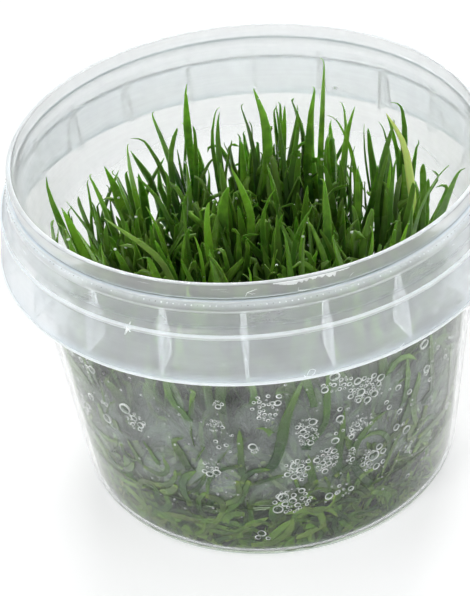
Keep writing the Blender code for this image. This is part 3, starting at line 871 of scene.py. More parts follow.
def grown_leaf(plant, tip, lean, facing, looks=None):
    """A leaf from that free quarter of the crown which faces its tip best."""
    towards = math.atan2(tip.y - plant.crown.y, tip.x - plant.crown.x)
    taken = [leaf.slot for leaf in plant.planned]
    turns = {slot: math.tau * (slot + 0.5) / LEAVES_PER_TUFT
             for slot in range(LEAVES_PER_TUFT) if slot not in taken}
    slot = max(turns, key=lambda number: math.cos(turns[number] - towards))
    root = plant.crown + level(turns[slot]) * LEAF_ROOT_OFFSET
    root.z = CROWN_TOP - LEAF_ROOT_DEPTH
    return Leaf(slot, root, tip, lean, facing, looks)


def plan_tall_leaves(draw, plants):
    for x, y, z, lean, *looks in TALL_LEAVES:
        tip = Vector((x, y, z)) * MM
        facing = TO_FRONT + draw.uniform(-TALL_LEAF_TWIST, TALL_LEAF_TWIST)
        near = by_nearness(plants, tip * TALL_LEAF_SPREAD)
        roomy = [plant for plant in near if len(plant.planned) < LEAVES_PER_TUFT]
        lean_out = Vector((lean, TALL_LEAF_OUTWARD * tip.y / TURF_RADIUS, 0.0))
        for plant in roomy[:TALL_LEAF_CHOICES]:
            leaf = grown_leaf(plant, tip, lean_out, facing, Looks(*looks))
            if is_clear(leaf, plant, plants):
                plant.planned.append(leaf)
                break


def plan_other_leaves(draw, plants):
    for plant in plants:
        tries = 0
        while len(plant.planned) < LEAVES_PER_TUFT and tries < PLANTING_TRIES:
            tries += 1
            angle = draw.uniform(0.0, math.tau)
            reach = draw.uniform(*LEAF_REACHES)
            height = draw.uniform(*LEAF_HEIGHTS)
            splay = draw.uniform(*LEAF_SPLAYS)
            tip = plant.crown + level(angle) * reach
            tip.z = height
            room = (wall_radius(height / MM) - WALL) * MM - LEAF_WIDTH
            facing = angle + draw.uniform(-LEAF_TWIST, LEAF_TWIST)
            leaf = grown_leaf(plant, tip, level(angle) * splay, facing)
            if math.hypot(tip.x, tip.y) < room and is_clear(leaf, plant, plants):
                plant.planned.append(leaf)


# How broad a blade is along its length. A strap keeps its breadth to a blunt tip, and a spear
# narrows from the middle; each leaf is something between the two.
STRAP_OUTLINE = ((0.0, 0.6), (0.3, 0.78), (0.6, 0.92), (0.85, 0.95), (0.95, 0.86), (0.975, 0.72),
                 (0.992, 0.45), (1.0, 0.12))
SPEAR_OUTLINE = ((0.0, 0.7), (0.3, 0.95), (0.6, 1.0), (0.8, 0.84), (0.9, 0.58), (0.96, 0.29),
                 (0.99, 0.11), (1.0, 0.03))
STRAP_SHARE = 0.15

# The points round a blade: how far each lies to the left or right, how far up or down in half
# thicknesses, and how far it sinks with the channel that runs along the blade.
BLADE_ROUND = (
    (1.0, 0.0, 0.0), (0.55, 1.0, 0.7), (0.0, 0.7, 1.0), (-0.55, 1.0, 0.7), (-1.0, 0.0, 0.0),
    (-0.5, -1.0, 1.0), (0.0, -1.5, 1.0), (0.5, -1.0, 1.0),
)
BLADE_ACROSS = (1.0, 0.5, 0.0, -0.5, -1.0, -0.5, 0.0, 0.5)
BLADE_HALF_THICKNESS = 0.14 * MM
BLADE_EDGE_WAVES = (19.0, 23.0)
BLADE_PRESSED = 0.8 * MM         # a blade pushed this far by the wall lies flat on it
BLADE_RINGS = 17
SHORT_BLADE_RINGS = 12
LYING_BLADE_RINGS = 9
TIP_RINGS = (0.975, 0.992, 1.0)
WALL_CLEARANCE = 0.35 * MM
SKIN_CLEARANCE = 0.08 * MM
DROP_SHARE = 0.45                # of the blades that carry a drop of water
LOWEST_DROP = 30.0 * MM


def breadth_at(along, bluntness):
    strap = float(np.interp(along, *zip(*STRAP_OUTLINE)))
    spear = float(np.interp(along, *zip(*SPEAR_OUTLINE)))
    return bluntness * strap + (1.0 - bluntness) * spear


def held_inside(point, clearance):
    """The point, moved in from the cup's wall and its round lower corner where it would touch."""
    radius = math.hypot(point.x, point.y)
    height = max(point.z / MM, INNER_FLOOR + 0.05)
    up_corner = min(1.0, math.sqrt((height - INNER_FLOOR) / CORNER_ROUND))
    room = (wall_radius(height) - WALL - CORNER_ROUND * (1.0 - up_corner) ** 2) * MM - clearance
    if radius <= room:
        return point
    return Vector((point.x * room / radius, point.y * room / radius, point.z))


def drawn_bluntness(draw):
    return draw.uniform(0.5, 1.0) if draw.random() < STRAP_SHARE else draw.uniform(0.0, 0.2)


def add_blade(plant, middles, width, facing, turn, draw, tone, pale=0.0, bluntness=None):
    """A strap blade along a middle line. facing is the way its flat side looks at the foot, and
    turn is how far it has twisted at the tip. Where it meets the wall it lies flat on it."""
    steps = len(middles) - 1
    lengths = np.cumsum([0.0] + [math.dist(*ends) for ends in zip(middles, middles[1:])])
    alongs = (lengths / lengths[-1]).tolist()
    if bluntness is None:
        bluntness = drawn_bluntness(draw)
    unevenness = draw.uniform(0.03, 0.16)
    phase = draw.uniform(0.0, math.tau)
    channel_depth = draw.uniform(0.05, 0.40)
    rings = []
    for step, along in enumerate(alongs):
        free = middles[step]
        middle = held_inside(free, WALL_CLEARANCE)
        pressed = min(1.0, (free - middle).length / BLADE_PRESSED)
        ahead = (middles[min(step + 1, steps)] - middles[max(step - 1, 0)]).normalized()
        look = level(facing + turn * along)
        outward = Vector((middle.x, middle.y, 0.0)).normalized()
        if look.dot(outward) < 0.0:
            outward.negate()
        across = ahead.cross(look.lerp(outward, pressed)).normalized()
        look = across.cross(ahead).normalized()
        breadth = breadth_at(along, bluntness)
        left, right = [width * breadth / 2 * (1.0 + unevenness * math.sin(start + wave * along))
                       for start, wave in zip((phase, 2.0 * phase), BLADE_EDGE_WAVES)]
        thick = BLADE_HALF_THICKNESS * (0.35 + 0.65 * breadth)
        channel = channel_depth * (left + right) / 2
        ring = [middle + across * side * (left if side > 0.0 else right)
                + look * (thick * up - channel * sink) for side, up, sink in BLADE_ROUND]
        rings.append([held_inside(point, SKIN_CLEARANCE) for point in ring])
    plant.add_tube(rings, along=[[along] for along in alongs], across=BLADE_ACROSS, tone=tone,
                   pale=pale)
    drop = draw.choice(rings[steps // 3:-2])[draw.choice((1, 2, 3, 6))]
    if draw.random() < DROP_SHARE and drop.z > LOWEST_DROP:
        plant.wet_spots.append(drop)


def course_line(leaf, count):
    """Points along a leaf's course, with the last few close together for a round tip."""
    even = np.linspace(0.0, 0.95, count - len(TIP_RINGS)).tolist()
    return [course(leaf, along) for along in (*even, *TIP_RINGS)]


def curve_through(points, count):
    """A smooth line of evenly spaced points through a few given ones."""
    ends = [2 * points[0] - points[1], *points, 2 * points[-1] - points[-2]]
    fine = []
    for before, low, high, after in zip(ends, ends[1:], ends[2:], ends[3:]):
        for step in range(12):
            t = step / 12
            fine.append(0.5 * (2 * low + (high - before) * t
                               + (2 * before - 5 * low + 4 * high - after) * t ** 2
                               + (3 * low - before - 3 * high + after) * t ** 3))
    fine.append(points[-1])
    lengths = np.cumsum([0.0] + [(high - low).length for low, high in zip(fine, fine[1:])])
    places = np.linspace(0.0, lengths[-1], count)
    columns = [np.interp(places, lengths, column) for column in zip(*fine)]
    return [Vector(row) for row in zip(*columns)]


def placed(points):
    """Each point of a line, after its place on it from 0 to 1."""
    return [(index / (len(points) - 1), point) for index, point in enumerate(points)]


def swayed(points, draw, amount):
    """A middle line with a soft wave in it, still at both ends."""
    side = level(draw.uniform(0.0, math.tau)) * amount
    waves = draw.uniform(0.8, 1.6)
    return [point + side * math.sin(math.pi * along) * math.sin(math.tau * waves * along)
            for along, point in placed(points)]


def hooked(points, draw, amount):
    """A middle line whose last third bends over to one side."""
    side = level(draw.uniform(0.0, math.tau))
    side.z = -draw.uniform(0.2, 1.2)
    return [point + side * amount * max(0.0, (along - 0.62) / 0.38) ** 2
            for along, point in placed(points)]


def bowed(points, amount):
    """A middle line that bows out to the right just below its tip."""
    return [point + Vector((4.0 * along ** 4 * (1.0 - along ** 4) * amount, 0.0, 0.0))
            for along, point in placed(points)]


def add_planned_leaf(plant, leaf, draw):
    middles = course_line(leaf, BLADE_RINGS)
    if leaf.looks:
        looks = leaf.looks
        middles = swayed(middles, draw, draw.uniform(0.2, 0.9) * MM)
        middles = bowed(middles, looks.bow * MM)
        turn = draw.uniform(-0.6, 0.6)
    else:
        looks = Looks(draw.uniform(1.3, 2.5), drawn_bluntness(draw), draw.uniform(0.0, 0.75), 0.0)
        middles = swayed(middles, draw, draw.uniform(0.5, 2.2) * MM)
        turn = draw.uniform(-1.3, 1.3)
    add_blade(plant, middles, looks.width * MM, leaf.facing, turn, draw, looks.tone,
              bluntness=looks.bluntness)


def add_traced_leaf(plant, row, draw):
    x, y, z, lean, *looks = row
    tip = Vector((x, y, z)) * MM
    towards = Vector((tip.x - plant.crown.x, tip.y - plant.crown.y, 0.0)).normalized()
    root = plant.crown + towards * MM
    root.z = CROWN_TOP - MM
    facing = TO_FRONT + draw.uniform(-0.5, 0.5)
    leaf = Leaf(0, root, tip, Vector((lean, 0.0, 0.0)), facing, Looks(*looks))
    add_planned_leaf(plant, leaf, draw)


# The pale leaves: spots along each from its crown to its tip, its width, tone and paleness.
PALE_LEAVES = (
    (((31.5, 9.0, 17.5), (33.0, 9.5, 30.0), (33.7, 10.0, 48.0), (33.4, 10.5, 55.0),
      (32.9, 11.0, 59.4), (32.2, 11.5, 64.1), (31.0, 12.2, 67.3), (28.9, 13.0, 71.2)),
     1.8, 1.0, 1.0),
    (((-14.0, -9.0, 17.5), (-15.5, -8.5, 38.0), (-18.0, -8.0, 51.0), (-20.3, -8.0, 56.3),
      (-23.7, -8.0, 60.1), (-26.7, -8.0, 63.3), (-29.2, -8.0, 66.0)), 1.7, 0.6, 0.25),
)


def add_pale_leaf(plant, spots, width, tone, pale, draw):
    middles = curve_through(spots, BLADE_RINGS)
    add_blade(plant, middles, width * MM, TO_FRONT, draw.uniform(-0.4, 0.4), draw, tone, pale)


FILLERS_PER_TUFT = 34
FILLER_HEIGHTS = (24.0 * MM, 55.0 * MM)
FILLER_REACHES = (2.0 * MM, 14.0 * MM)
HOOKED_SHARE = 0.55
OUTER_CROWNS = 26.0 * MM         # the plantlets that stand this far from the axis are outer ones
OUTER_LEAVES_PER_TUFT = 18
OUTER_HEIGHTS = (30.0 * MM, 60.0 * MM)
OUTER_REACHES = (2.0 * MM, 10.0 * MM)
LOW_LEAVES_PER_TUFT = 14
LOW_LEAF_HEIGHTS = (15.0 * MM, 25.0 * MM)
LOW_LEAF_REACHES = (5.0 * MM, 13.0 * MM)


def share_of(value, limits):
    return (value - limits[0]) / (limits[1] - limits[0])


def add_filler_leaf(plant, draw):
    angle = draw.uniform(0.0, math.tau)
    away = level(angle)
    root = plant.crown + away * draw.uniform(0.2, 1.4) * MM
    root.z = CROWN_TOP - draw.uniform(0.5, 2.0) * MM
    tip = plant.crown + away * draw.uniform(*FILLER_REACHES)
    tip.z = draw.uniform(*FILLER_HEIGHTS)
    leaf = Leaf(0, root, tip, away * draw.uniform(-0.2, 1.1), angle)
    middles = course_line(leaf, SHORT_BLADE_RINGS)
    middles = swayed(middles, draw, draw.uniform(0.5, 2.6) * MM)
    if draw.random() < HOOKED_SHARE:
        middles = hooked(middles, draw, draw.uniform(1.0, 4.0) * MM)
    width = LEAF_WIDTH * draw.uniform(0.75, 1.4)
    facing = angle + draw.uniform(-1.2, 1.2)
    turn = draw.uniform(-1.6, 1.6)
    # Painted shade: the lower its tip stands in the turf, the darker the leaf's tone.
    tone = draw.uniform(0.0, 0.68) * (0.15 + 0.85 * share_of(tip.z, FILLER_HEIGHTS))
    add_blade(plant, middles, width, facing, turn, draw, tone)


def add_outer_leaf(plant, draw):
    """A leaf of an outer plantlet that leans out and stands along the wall."""
    angle = math.atan2(plant.crown.y, plant.crown.x) + draw.gauss(0.0, 0.5)
    away = level(angle)
    root = plant.crown + away * draw.uniform(0.2, 1.4) * MM
    root.z = CROWN_TOP - 1.5 * MM
    tip = plant.crown + away * draw.uniform(*OUTER_REACHES)
    tip.z = draw.uniform(*OUTER_HEIGHTS)
    leaf = Leaf(0, root, tip, away * draw.uniform(-0.5, 0.1), angle)
    middles = course_line(leaf, SHORT_BLADE_RINGS)
    middles = swayed(middles, draw, draw.uniform(0.4, 1.8) * MM)
    width = LEAF_WIDTH * draw.uniform(0.75, 1.45)
    facing = angle + draw.uniform(-0.8, 0.8)
    # Painted shade: the lower its tip stands in the turf, the darker the leaf's tone.
    tone = draw.uniform(0.0, 0.85) * (0.2 + 0.8 * share_of(tip.z, OUTER_HEIGHTS))
    add_blade(plant, middles, width, facing, draw.uniform(-1.2, 1.2), draw, tone)


def add_low_leaf(plant, draw):
    """A short leaf that lies out over the jelly, as the outer ones of a plantlet do."""
    angle = draw.uniform(0.0, math.tau)
    root = plant.crown + level(angle) * MM
    root.z = CROWN_TOP - 1.5 * MM
    tip = plant.crown + level(angle) * draw.uniform(*LOW_LEAF_REACHES)
    tip.z = draw.uniform(*LOW_LEAF_HEIGHTS)
    bend = root.lerp(tip, 0.5) + Vector((0.0, 0.0, draw.uniform(1.0, 4.0) * MM))
    width = LEAF_WIDTH * draw.uniform(0.6, 1.0)
    add_blade(plant, curve_through([root, bend, tip], LYING_BLADE_RINGS), width,
              angle + math.pi / 2, draw.uniform(-1.0, 1.0), draw, draw.uniform(0.0, 0.5))


# Leaves that lie on the inner wall: azimuth in degrees from the front and height in millimetres
# of the spots that each touches, its width in millimetres, and its tone.
WALL_LEAVES = (
    (((-21.8, 40.1), (-24.9, 43.7), (-25.8, 48.6), (-25.5, 56)), 1.7, 0.7),
    (((-1.8, 26.3), (0.9, 30.7), (3.7, 39.6), (5.7, 44.4), (8.8, 50.2)), 2.2, 0.45),
    (((-9.4, 25), (-8.8, 31), (-8.3, 37.9)), 1.5, 0.4),
    (((-3.8, 46.5), (-4.5, 52), (-5, 58)), 1.5, 0.6),
    (((8.6, 31.4), (13.8, 36.9), (14.6, 43.8), (15, 52)), 1.6, 0.6),
    (((16.7, 20.6), (18, 30), (19.2, 39.1)), 1.7, 0.4),
    (((27.6, 15.2), (22.5, 21.5), (21.5, 25.8), (24.1, 30.2), (28, 33), (32.2, 34)), 1.7, 0.45),
    (((32.7, 21.8), (33.3, 25), (31, 28.2), (27, 29.8), (24.1, 29)), 1.3, 0.5),
    (((40.5, 35), (42.5, 28), (44.6, 22.5)), 2.2, 0.35),
    (((10.4, 19.5), (9.6, 24), (9.1, 29.3)), 1.9, 0.4),
    (((-50.7, 19), (-51.6, 22), (-52.4, 25)), 1.4, 0.3),
    (((-40.4, 21.6), (-42, 24.7), (-43.6, 27.9)), 1.5, 0.3),
    (((-34, 24.6), (-35.5, 27), (-37.3, 29.6)), 1.3, 0.45),
    (((-23.9, 25.3), (-25.5, 29), (-27.1, 32.7), (-24, 34)), 2.2, 0.25),
    (((-0.6, 36.8), (-2, 38.2), (-4, 38.4)), 1.8, 0.6),
    (((46.7, 29.7), (50.2, 31), (48.5, 40), (46.8, 48.8)), 1.7, 0.35),
    (((33, 45), (38, 46), (42, 43)), 2, 0.65), (((10.9, 43.4), (9.3, 50.1), (9, 57)), 1.7, 0.5),
    (((30, 44), (29.8, 48.1), (29.5, 56)), 1.6, 0.35),
    (((-55.9, 38.1), (-64.4, 40.5), (-70, 42)), 1.8, 0.4),
)
MORE_WALL_LEAVES = 34
MORE_WALL_LEAVES_FROM = 62.0     # degrees from the front
MORE_WALL_LEAVES_SPAN = 236.0
WALL_LEAF_DARKER = 0.16
BEYOND_WALL = 0.6                # leaves are bent to here and lie flat where the wall stops them
STRANDS = 900
STRAND_HEIGHTS = (1.5, 27.0)
STRAND_BRIGHT_TOP = 13.0
DEEP_STRANDS = 420
WALL_MIDDLE_RADIUS = 42.0
CROWN_LEVEL = 16.0


def on_wall(azimuth, height, beyond=BEYOND_WALL):
    """A point beyond the inner wall; azimuth is in degrees from the front, lengths are in
    millimetres."""
    return spot(front_angle(azimuth), wall_radius(height) - WALL + beyond, height)


def add_wall_leaf(plant, spots, width, tone, draw):
    """A leaf that leans out from its crown and lies on the wall along the given spots."""
    root = plant.crown + Vector((0.0, 0.0, CROWN_TOP - MM))
    touched = [on_wall(*place) for place in spots]
    bend = root.lerp(touched[0], 0.5)
    bend = Vector((0.9 * bend.x, 0.9 * bend.y, bend.z + 3.0 * MM))
    middles = curve_through([root, bend, *touched], BLADE_RINGS + 5)
    facing = math.atan2(touched[0].y, touched[0].x)
    add_blade(plant, middles, width * MM, facing, draw.uniform(-0.2, 0.2), draw,
              tone - WALL_LEAF_DARKER)


def other_wall_leaves(draw):
    """Leaves on the wall's sides and back, which lie as they happened to."""
    rows = []
    for index in range(MORE_WALL_LEAVES):
        share = (index + draw.random()) / MORE_WALL_LEAVES
        azimuth = MORE_WALL_LEAVES_FROM + MORE_WALL_LEAVES_SPAN * share
        height = draw.uniform(20.0, 38.0)
        lean = draw.uniform(-7.0, 7.0)
        reach = draw.uniform(8.0, 20.0)
        spots = ((azimuth, height), (azimuth + 0.6 * lean, height + 0.5 * reach),
                 (azimuth + 2.0 * lean, height + reach))
        rows.append((spots, draw.uniform(1.3, 2.1), draw.uniform(0.2, 0.8)))
    return rows


def add_strand(plant, azimuth, height, draw):
    """A short narrow leaf that lies along the wall at the foot of the turf."""
    length = draw.uniform(6.0, 15.0)
    heading = draw.gauss(0.0, 1.1) + (math.pi if draw.random() < 0.5 else 0.0)
    bend = draw.uniform(-1.8, 1.8)
    depth = BEYOND_WALL - 4.5 * draw.random() ** 1.6
    points = []
    for share in (-0.5, -0.15, 0.2, 0.5):
        angle = heading + bend * share
        side = math.degrees(share * length * math.cos(angle) / (wall_radius(height) - WALL))
        rise = max(1.0, height + share * length * math.sin(angle))
        points.append(on_wall(azimuth + side, rise, depth))
        points[-1].z = max(points[-1].z, 1.7 * MM)
    facing = front_angle(azimuth) + draw.uniform(-0.5, 0.5)
    bright = height < STRAND_BRIGHT_TOP
    tone = draw.uniform(0.25, 1.3) * (1.0 if bright else 0.6)
    pale = max(0.0, draw.uniform(-0.25, 0.32)) * (1.0 if bright else 0.4)
    add_blade(plant, curve_through(points, LYING_BLADE_RINGS), draw.uniform(0.8, 2.0) * MM, facing,
              draw.uniform(-0.5, 0.5), draw, tone, pale)


def add_deep_strand(plant, azimuth, draw):
    """A dark narrow leaf that lies in the jelly behind the others."""
    inward = draw.uniform(3.0, 12.0)
    height = draw.uniform(2.5, 20.0)
    length = draw.uniform(8.0, 16.0)
    heading = draw.uniform(0.0, math.tau)
    points = []
    for share in (-0.5, -0.1, 0.25, 0.5):
        side = math.degrees(share * length * math.cos(heading + share) / WALL_MIDDLE_RADIUS)
        rise = max(2.0, height + share * length * math.sin(heading + share))
        points.append(on_wall(azimuth + side, rise, -inward))
    facing = front_angle(azimuth) + draw.uniform(-0.5, 0.5)
    add_blade(plant, curve_through(points, LYING_BLADE_RINGS - 1), draw.uniform(1.4, 2.4) * MM,
              facing, draw.uniform(-0.5, 0.5), draw, draw.uniform(0.0, 0.55))


ROOTS_PER_TUFT = 5
ROOT_TURNS = 9
ROOT_SIDES = 5
ROOT_TOP = 15.5 * MM
ROOT_LOWEST = 2.6 * MM
ROOT_THICKNESS = 0.3 * MM
CROWN_SIDES = 10

# The crown from its foot up: height, radius in millimetres, and its place along a leaf's colours.
CROWN_OUTLINE = (
    (ROOT_BOTTOM, 0.5, 0.0), (12.0 * MM, 0.8, 0.0), (14.5 * MM, 1.3, 0.02),
    (16.3 * MM, 1.9, 0.05), (CROWN_TOP, 1.7, 0.08), (CROWN_TOP + 1.2 * MM, 0.7, 0.1),
)


def ring_round(centre, radius, sides):
    return [centre + level(math.tau * side / sides) * radius for side in range(sides)]


def add_root(plant, draw):
    """A thin pale root that wanders down through the jelly."""
    angle = draw.uniform(0.0, math.tau)
    place = plant.crown + level(angle) * 0.8 * MM
    place.z = ROOT_TOP
    step = (level(angle) * 0.5 - Vector((0.0, 0.0, 1.2))) * MM
    alongs = [index / (ROOT_TURNS - 1) for index in range(ROOT_TURNS)]
    rings = []
    for along in alongs:
        ring = ring_round(place, ROOT_THICKNESS * (1.0 - 0.8 * along), ROOT_SIDES)
        rings.append([held_inside(point, 0.3 * MM) for point in ring])
        wander = Vector((draw.uniform(-0.4, 0.4), draw.uniform(-0.4, 0.4), 0.0)) * MM
        place = place + step + wander
        place.z = max(place.z, ROOT_LOWEST)
    plant.add_tube(rings, along=[[along] for along in alongs], across=0.0,
                   tone=draw.uniform(0.2, 0.8), pale=1.0)


def add_crown(plant, draw):
    """The short thick stem that all leaves of a plantlet come from."""
    rings = [ring_round(plant.crown + Vector((0.0, 0.0, height)), radius * MM, CROWN_SIDES)
             for height, radius, along in CROWN_OUTLINE]
    plant.add_tube(rings, along=[row[2:] for row in CROWN_OUTLINE], across=0.0,
                   tone=draw.uniform(0.3, 0.7), pale=0.45)


# How yellow a leaf is along its length.
YELLOW_ALONG = ((0.0, 0.6), (0.12, 0.1), (0.5, 0.0), (0.75, 0.12), (0.9, 0.26), (1.0, 0.30))


def leaf_green():
    """Fresh waxy leaf: dark to bright green from leaf to leaf, yellower at foot and tip, with
    fine veins along it, mottling, and a wet gloss in places. It is darker towards its foot: painted
    shade, for the shade deep in the turf."""
    green = Finish("leaf_green")
    along = green.mark("along")
    mottle = green.noise(450.0, 4.0)
    # The tone is shifted by mottling, and darkened towards the leaf's foot as painted shade of the
    # turf.
    mottle_and_painted_depth_shade = green.math("ADD", green.ranged(mottle, (0.3, 0.7), (-0.24, 0.18)),
                       green.ranged(along, (0.35, 0.9), (-0.32, 0.10)))
    fresh = green.ramp(green.math("ADD", green.mark("tone"), mottle_and_painted_depth_shade), (0.0, 0.010, 0.044, 0.008),
                       (0.5, 0.036, 0.126, 0.015), (1.0, 0.20, 0.40, 0.035))
    yellow = green.ramp(along, *[(place, share, share, share) for place, share in YELLOW_ALONG])
    yellowed = green.mix(yellow, fresh, (0.33, 0.52, 0.050, 1.0))
    pale = green.mix(green.mark("pale"), yellowed, (0.66, 0.74, 0.25, 1.0))
    veins = green.add("Math", {0: green.math("MULTIPLY", green.mark("across"), 26.0)},
                      operation="COSINE")
    vein_shade = green.ranged(veins, (-1.0, 1.0), (0.86, 1.1))
    relief = green.add("Math", {0: veins, 1: 0.3, 2: mottle}, operation="MULTIPLY_ADD")
    return green.dress({
        "Base Color": green.add("VectorMath", {0: pale, "Scale": vein_shade}, operation="SCALE"),
        "Roughness": green.ranged(green.noise(140.0), (0.42, 0.6), (0.48, 0.18)),
        "Normal": green.bump(relief, 0.5, 0.05),
        "Coat Weight": 0.45,
        "Coat Roughness": 0.12,
        "Coat IOR": 1.33,
        "Subsurface Weight": 0.45,
        "Subsurface Radius": (0.5, 1.0, 0.25),
        "Subsurface Scale": 0.8 * MM,
        "Specular IOR Level": 0.4,
    })


def lay_wall_leaves(plants, draw):
    """The leaves and strands that outer plantlets have on the wall and in the jelly near it."""
    outer = [plant for plant in plants if plant.crown.length > OUTER_CROWNS]
    for spots, width, tone in WALL_LEAVES + tuple(other_wall_leaves(draw)):
        plant = by_nearness(outer, on_wall(spots[0][0], CROWN_LEVEL))[0]
        add_wall_leaf(plant, spots, width, tone, draw)
    for strand in range(STRANDS):
        azimuth = 360.0 * (strand + draw.random()) / STRANDS
        height = float(np.interp(draw.random() ** 1.5, (0.0, 1.0), STRAND_HEIGHTS))
        add_strand(by_nearness(outer, on_wall(azimuth, CROWN_LEVEL))[0], azimuth, height, draw)
    for strand in range(DEEP_STRANDS):
        azimuth = 360.0 * (strand + draw.random()) / DEEP_STRANDS
        add_deep_strand(by_nearness(outer, on_wall(azimuth, CROWN_LEVEL))[0], azimuth, draw)


def fill_plantlet(plant, draw):
    add_crown(plant, draw)
    for leaf in plant.planned:
        add_planned_leaf(plant, leaf, draw)
    outer_leaves = OUTER_LEAVES_PER_TUFT if plant.crown.length > OUTER_CROWNS else 0
    for add, count in ((add_filler_leaf, FILLERS_PER_TUFT), (add_outer_leaf, outer_leaves),
                       (add_low_leaf, LOW_LEAVES_PER_TUFT), (add_root, ROOTS_PER_TUFT)):
        for number in range(count):
            add(plant, draw)


def grow_plantlets():
    plants = [Plantlet(crown) for crown in crown_places()]
    planning = random.Random(PLANNING_SEED)
    plan_tall_leaves(planning, plants)
    plan_other_leaves(planning, plants)
    green = leaf_green()
    draw = random.Random(GROWTH_SEED)
    lay_wall_leaves(plants, draw)
    for spots, *looks in PALE_LEAVES:
        points = [Vector(place) * MM for place in spots]
        add_pale_leaf(by_nearness(plants, points[0])[0], points, *looks, draw)
    for row in TRACED_LEAVES:
        foot = Vector(row[:3]) * MM * TALL_LEAF_SPREAD
        add_traced_leaf(by_nearness(plants, foot)[0], row, draw)
    for number, plant in enumerate(plants, 1):
        fill_plantlet(plant, draw)
        name = f"plantlet_{number:02d}"
        plantlet = add_piece(name, plant.to_mesh(name), green)
        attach(plantlet, "root")
        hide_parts(f"tuft_{number:02d}")
    return [place for plant in plants for place in plant.wet_spots]


wet_spots = grow_plantlets()


# The drops on the leaves
# Small beads of water hang on the blades where the damp air in the closed cup has settled;
# they are whitened, as painted glints.
DROP_RADII = (0.13 * MM, 0.38 * MM)
DROP_SQUASH = Matrix.Scale(0.8, 4, (0, 0, 1))
DROP_SEED = 17


def drop_water_painted_glint():
    """Clear water, made milky white in patches: the white is a painted glint, for the highlights
    that the lamps would give the drops.
    """
    water = Finish("drop_water_painted_glint")
    return water.dress({
        "Transmission Weight": water.ranged(water.noise(900.0), (0.3, 0.7), (0.0, 0.5)),
        "Base Color": (0.95, 0.98, 0.96, 1.0),
        "Roughness": 0.04,
        "IOR": 1.33,
    })


def make_drops(spots):
    draw = random.Random(DROP_SEED)
    shape = bmesh.new()
    for place in spots:
        bmesh.ops.create_icosphere(shape, subdivisions=2, radius=draw.uniform(*DROP_RADII),
                                   matrix=Matrix.Translation(place) @ DROP_SQUASH)
    mesh = mesh_of(shape, "water_drops")
    mesh.shade_smooth()
    drops = add_piece("water_drops", mesh, drop_water_painted_glint())
    let_light_in(drops)
    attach(drops, "root")


make_drops(wet_spots)


# The wet film
# Nutrient solution and condensation lie between the turf and the wall in a foggy film. It hides
# what is behind it, but not the leaves that are pressed on the wall.
FILM_FOOT = 15.5                 # millimetres, as are all sizes of this section
FILM_TOP = 53.0                  # in front; it is lower at the back
FILM_BACK_DROP = 15.0
FILM_WAVES = (3, 5, 8, 13, 21)   # of its top edge, round the cup
FILM_INSETS = (0.75, 0.79)       # its outer and inner side, from the inner wall
FILM_CLEAR_TOP = 2.5
FILM_SOFT_TOP = 8.0
FILM_SOFT_FOOT = 5.0
FILM_COLUMNS = 180
FILM_ROWS = 24
FILM_SEED = 5


def film_mesh():
    """A thin closed sheet that hangs a little inside the wall, with a wavy top edge."""
    draw = random.Random(FILM_SEED)
    waves = [(number, draw.uniform(0.4, 1.8), draw.uniform(0.0, math.tau))
             for number in FILM_WAVES]
    angles = [math.tau * column / FILM_COLUMNS for column in range(FILM_COLUMNS)]
    tops = [FILM_TOP - FILM_BACK_DROP * (1.0 + math.sin(angle)) / 2
            + sum(size * math.sin(number * angle + phase) for number, size, phase in waves)
            for angle in angles]
    rings = []
    fogs = []
    upwards = range(FILM_ROWS + 1)
    for inset, rows in zip(FILM_INSETS, (upwards, reversed(upwards))):
        for row in rows:
            heights = [FILM_FOOT + (top - FILM_FOOT) * row / FILM_ROWS for top in tops]
            rings.append([spot(angle, wall_radius(height) - WALL - inset, height)
                          for angle, height in zip(angles, heights)])
            fogs.append([max(0.0, min(1.0, (top - FILM_CLEAR_TOP - height) / FILM_SOFT_TOP,
                                      (height - FILM_FOOT) / FILM_SOFT_FOOT))
                         for top, height in zip(tops, heights)])
    skin = Skin()
    skin.add_tube(rings, "loop", fog=fogs)
    return skin.to_mesh("wet_film")


def foggy_water():
    """A see-through film with fog in drifting patches and fine specks in it."""
    water = Finish("foggy_water")
    patches = water.ranged(water.noise(120.0, 5.0, 0.6), (0.40, 0.66), (0.065, 0.185))
    thick = water.math("MULTIPLY", patches, water.mark("fog"))
    return water.dress({
        "Transmission Weight": water.left_from_one(thick),
        "Base Color": water.mix(thick, (0.98, 0.99, 0.98, 1.0), (0.50, 0.85, 0.68, 1.0)),
        "Roughness": 0.1,
        "IOR": 1.01,
        "Specular IOR Level": 0.0,
    })


def make_film():
    film = add_piece("wet_film", film_mesh(), foggy_water())
    let_light_in(film)
    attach(film, "root")


make_film()


# The bubbles
# The solution has foamed between the leaves and the wall: the foam stands there in clusters, with
# single bubbles round them.
BUBBLE_INSET = 0.04              # millimetres, as are all sizes of this section
BUBBLE_RIM = 0.17
BUBBLE_DEEP = 0.34               # of its radius
SMALLEST_FOAM_BUBBLE = 0.18
FOAM_TRIES = 60                  # for each bubble of a cluster
FOAM_CLOSENESS = 0.93            # bubbles that touch are pressed together a little
BUBBLE_SEED = 12

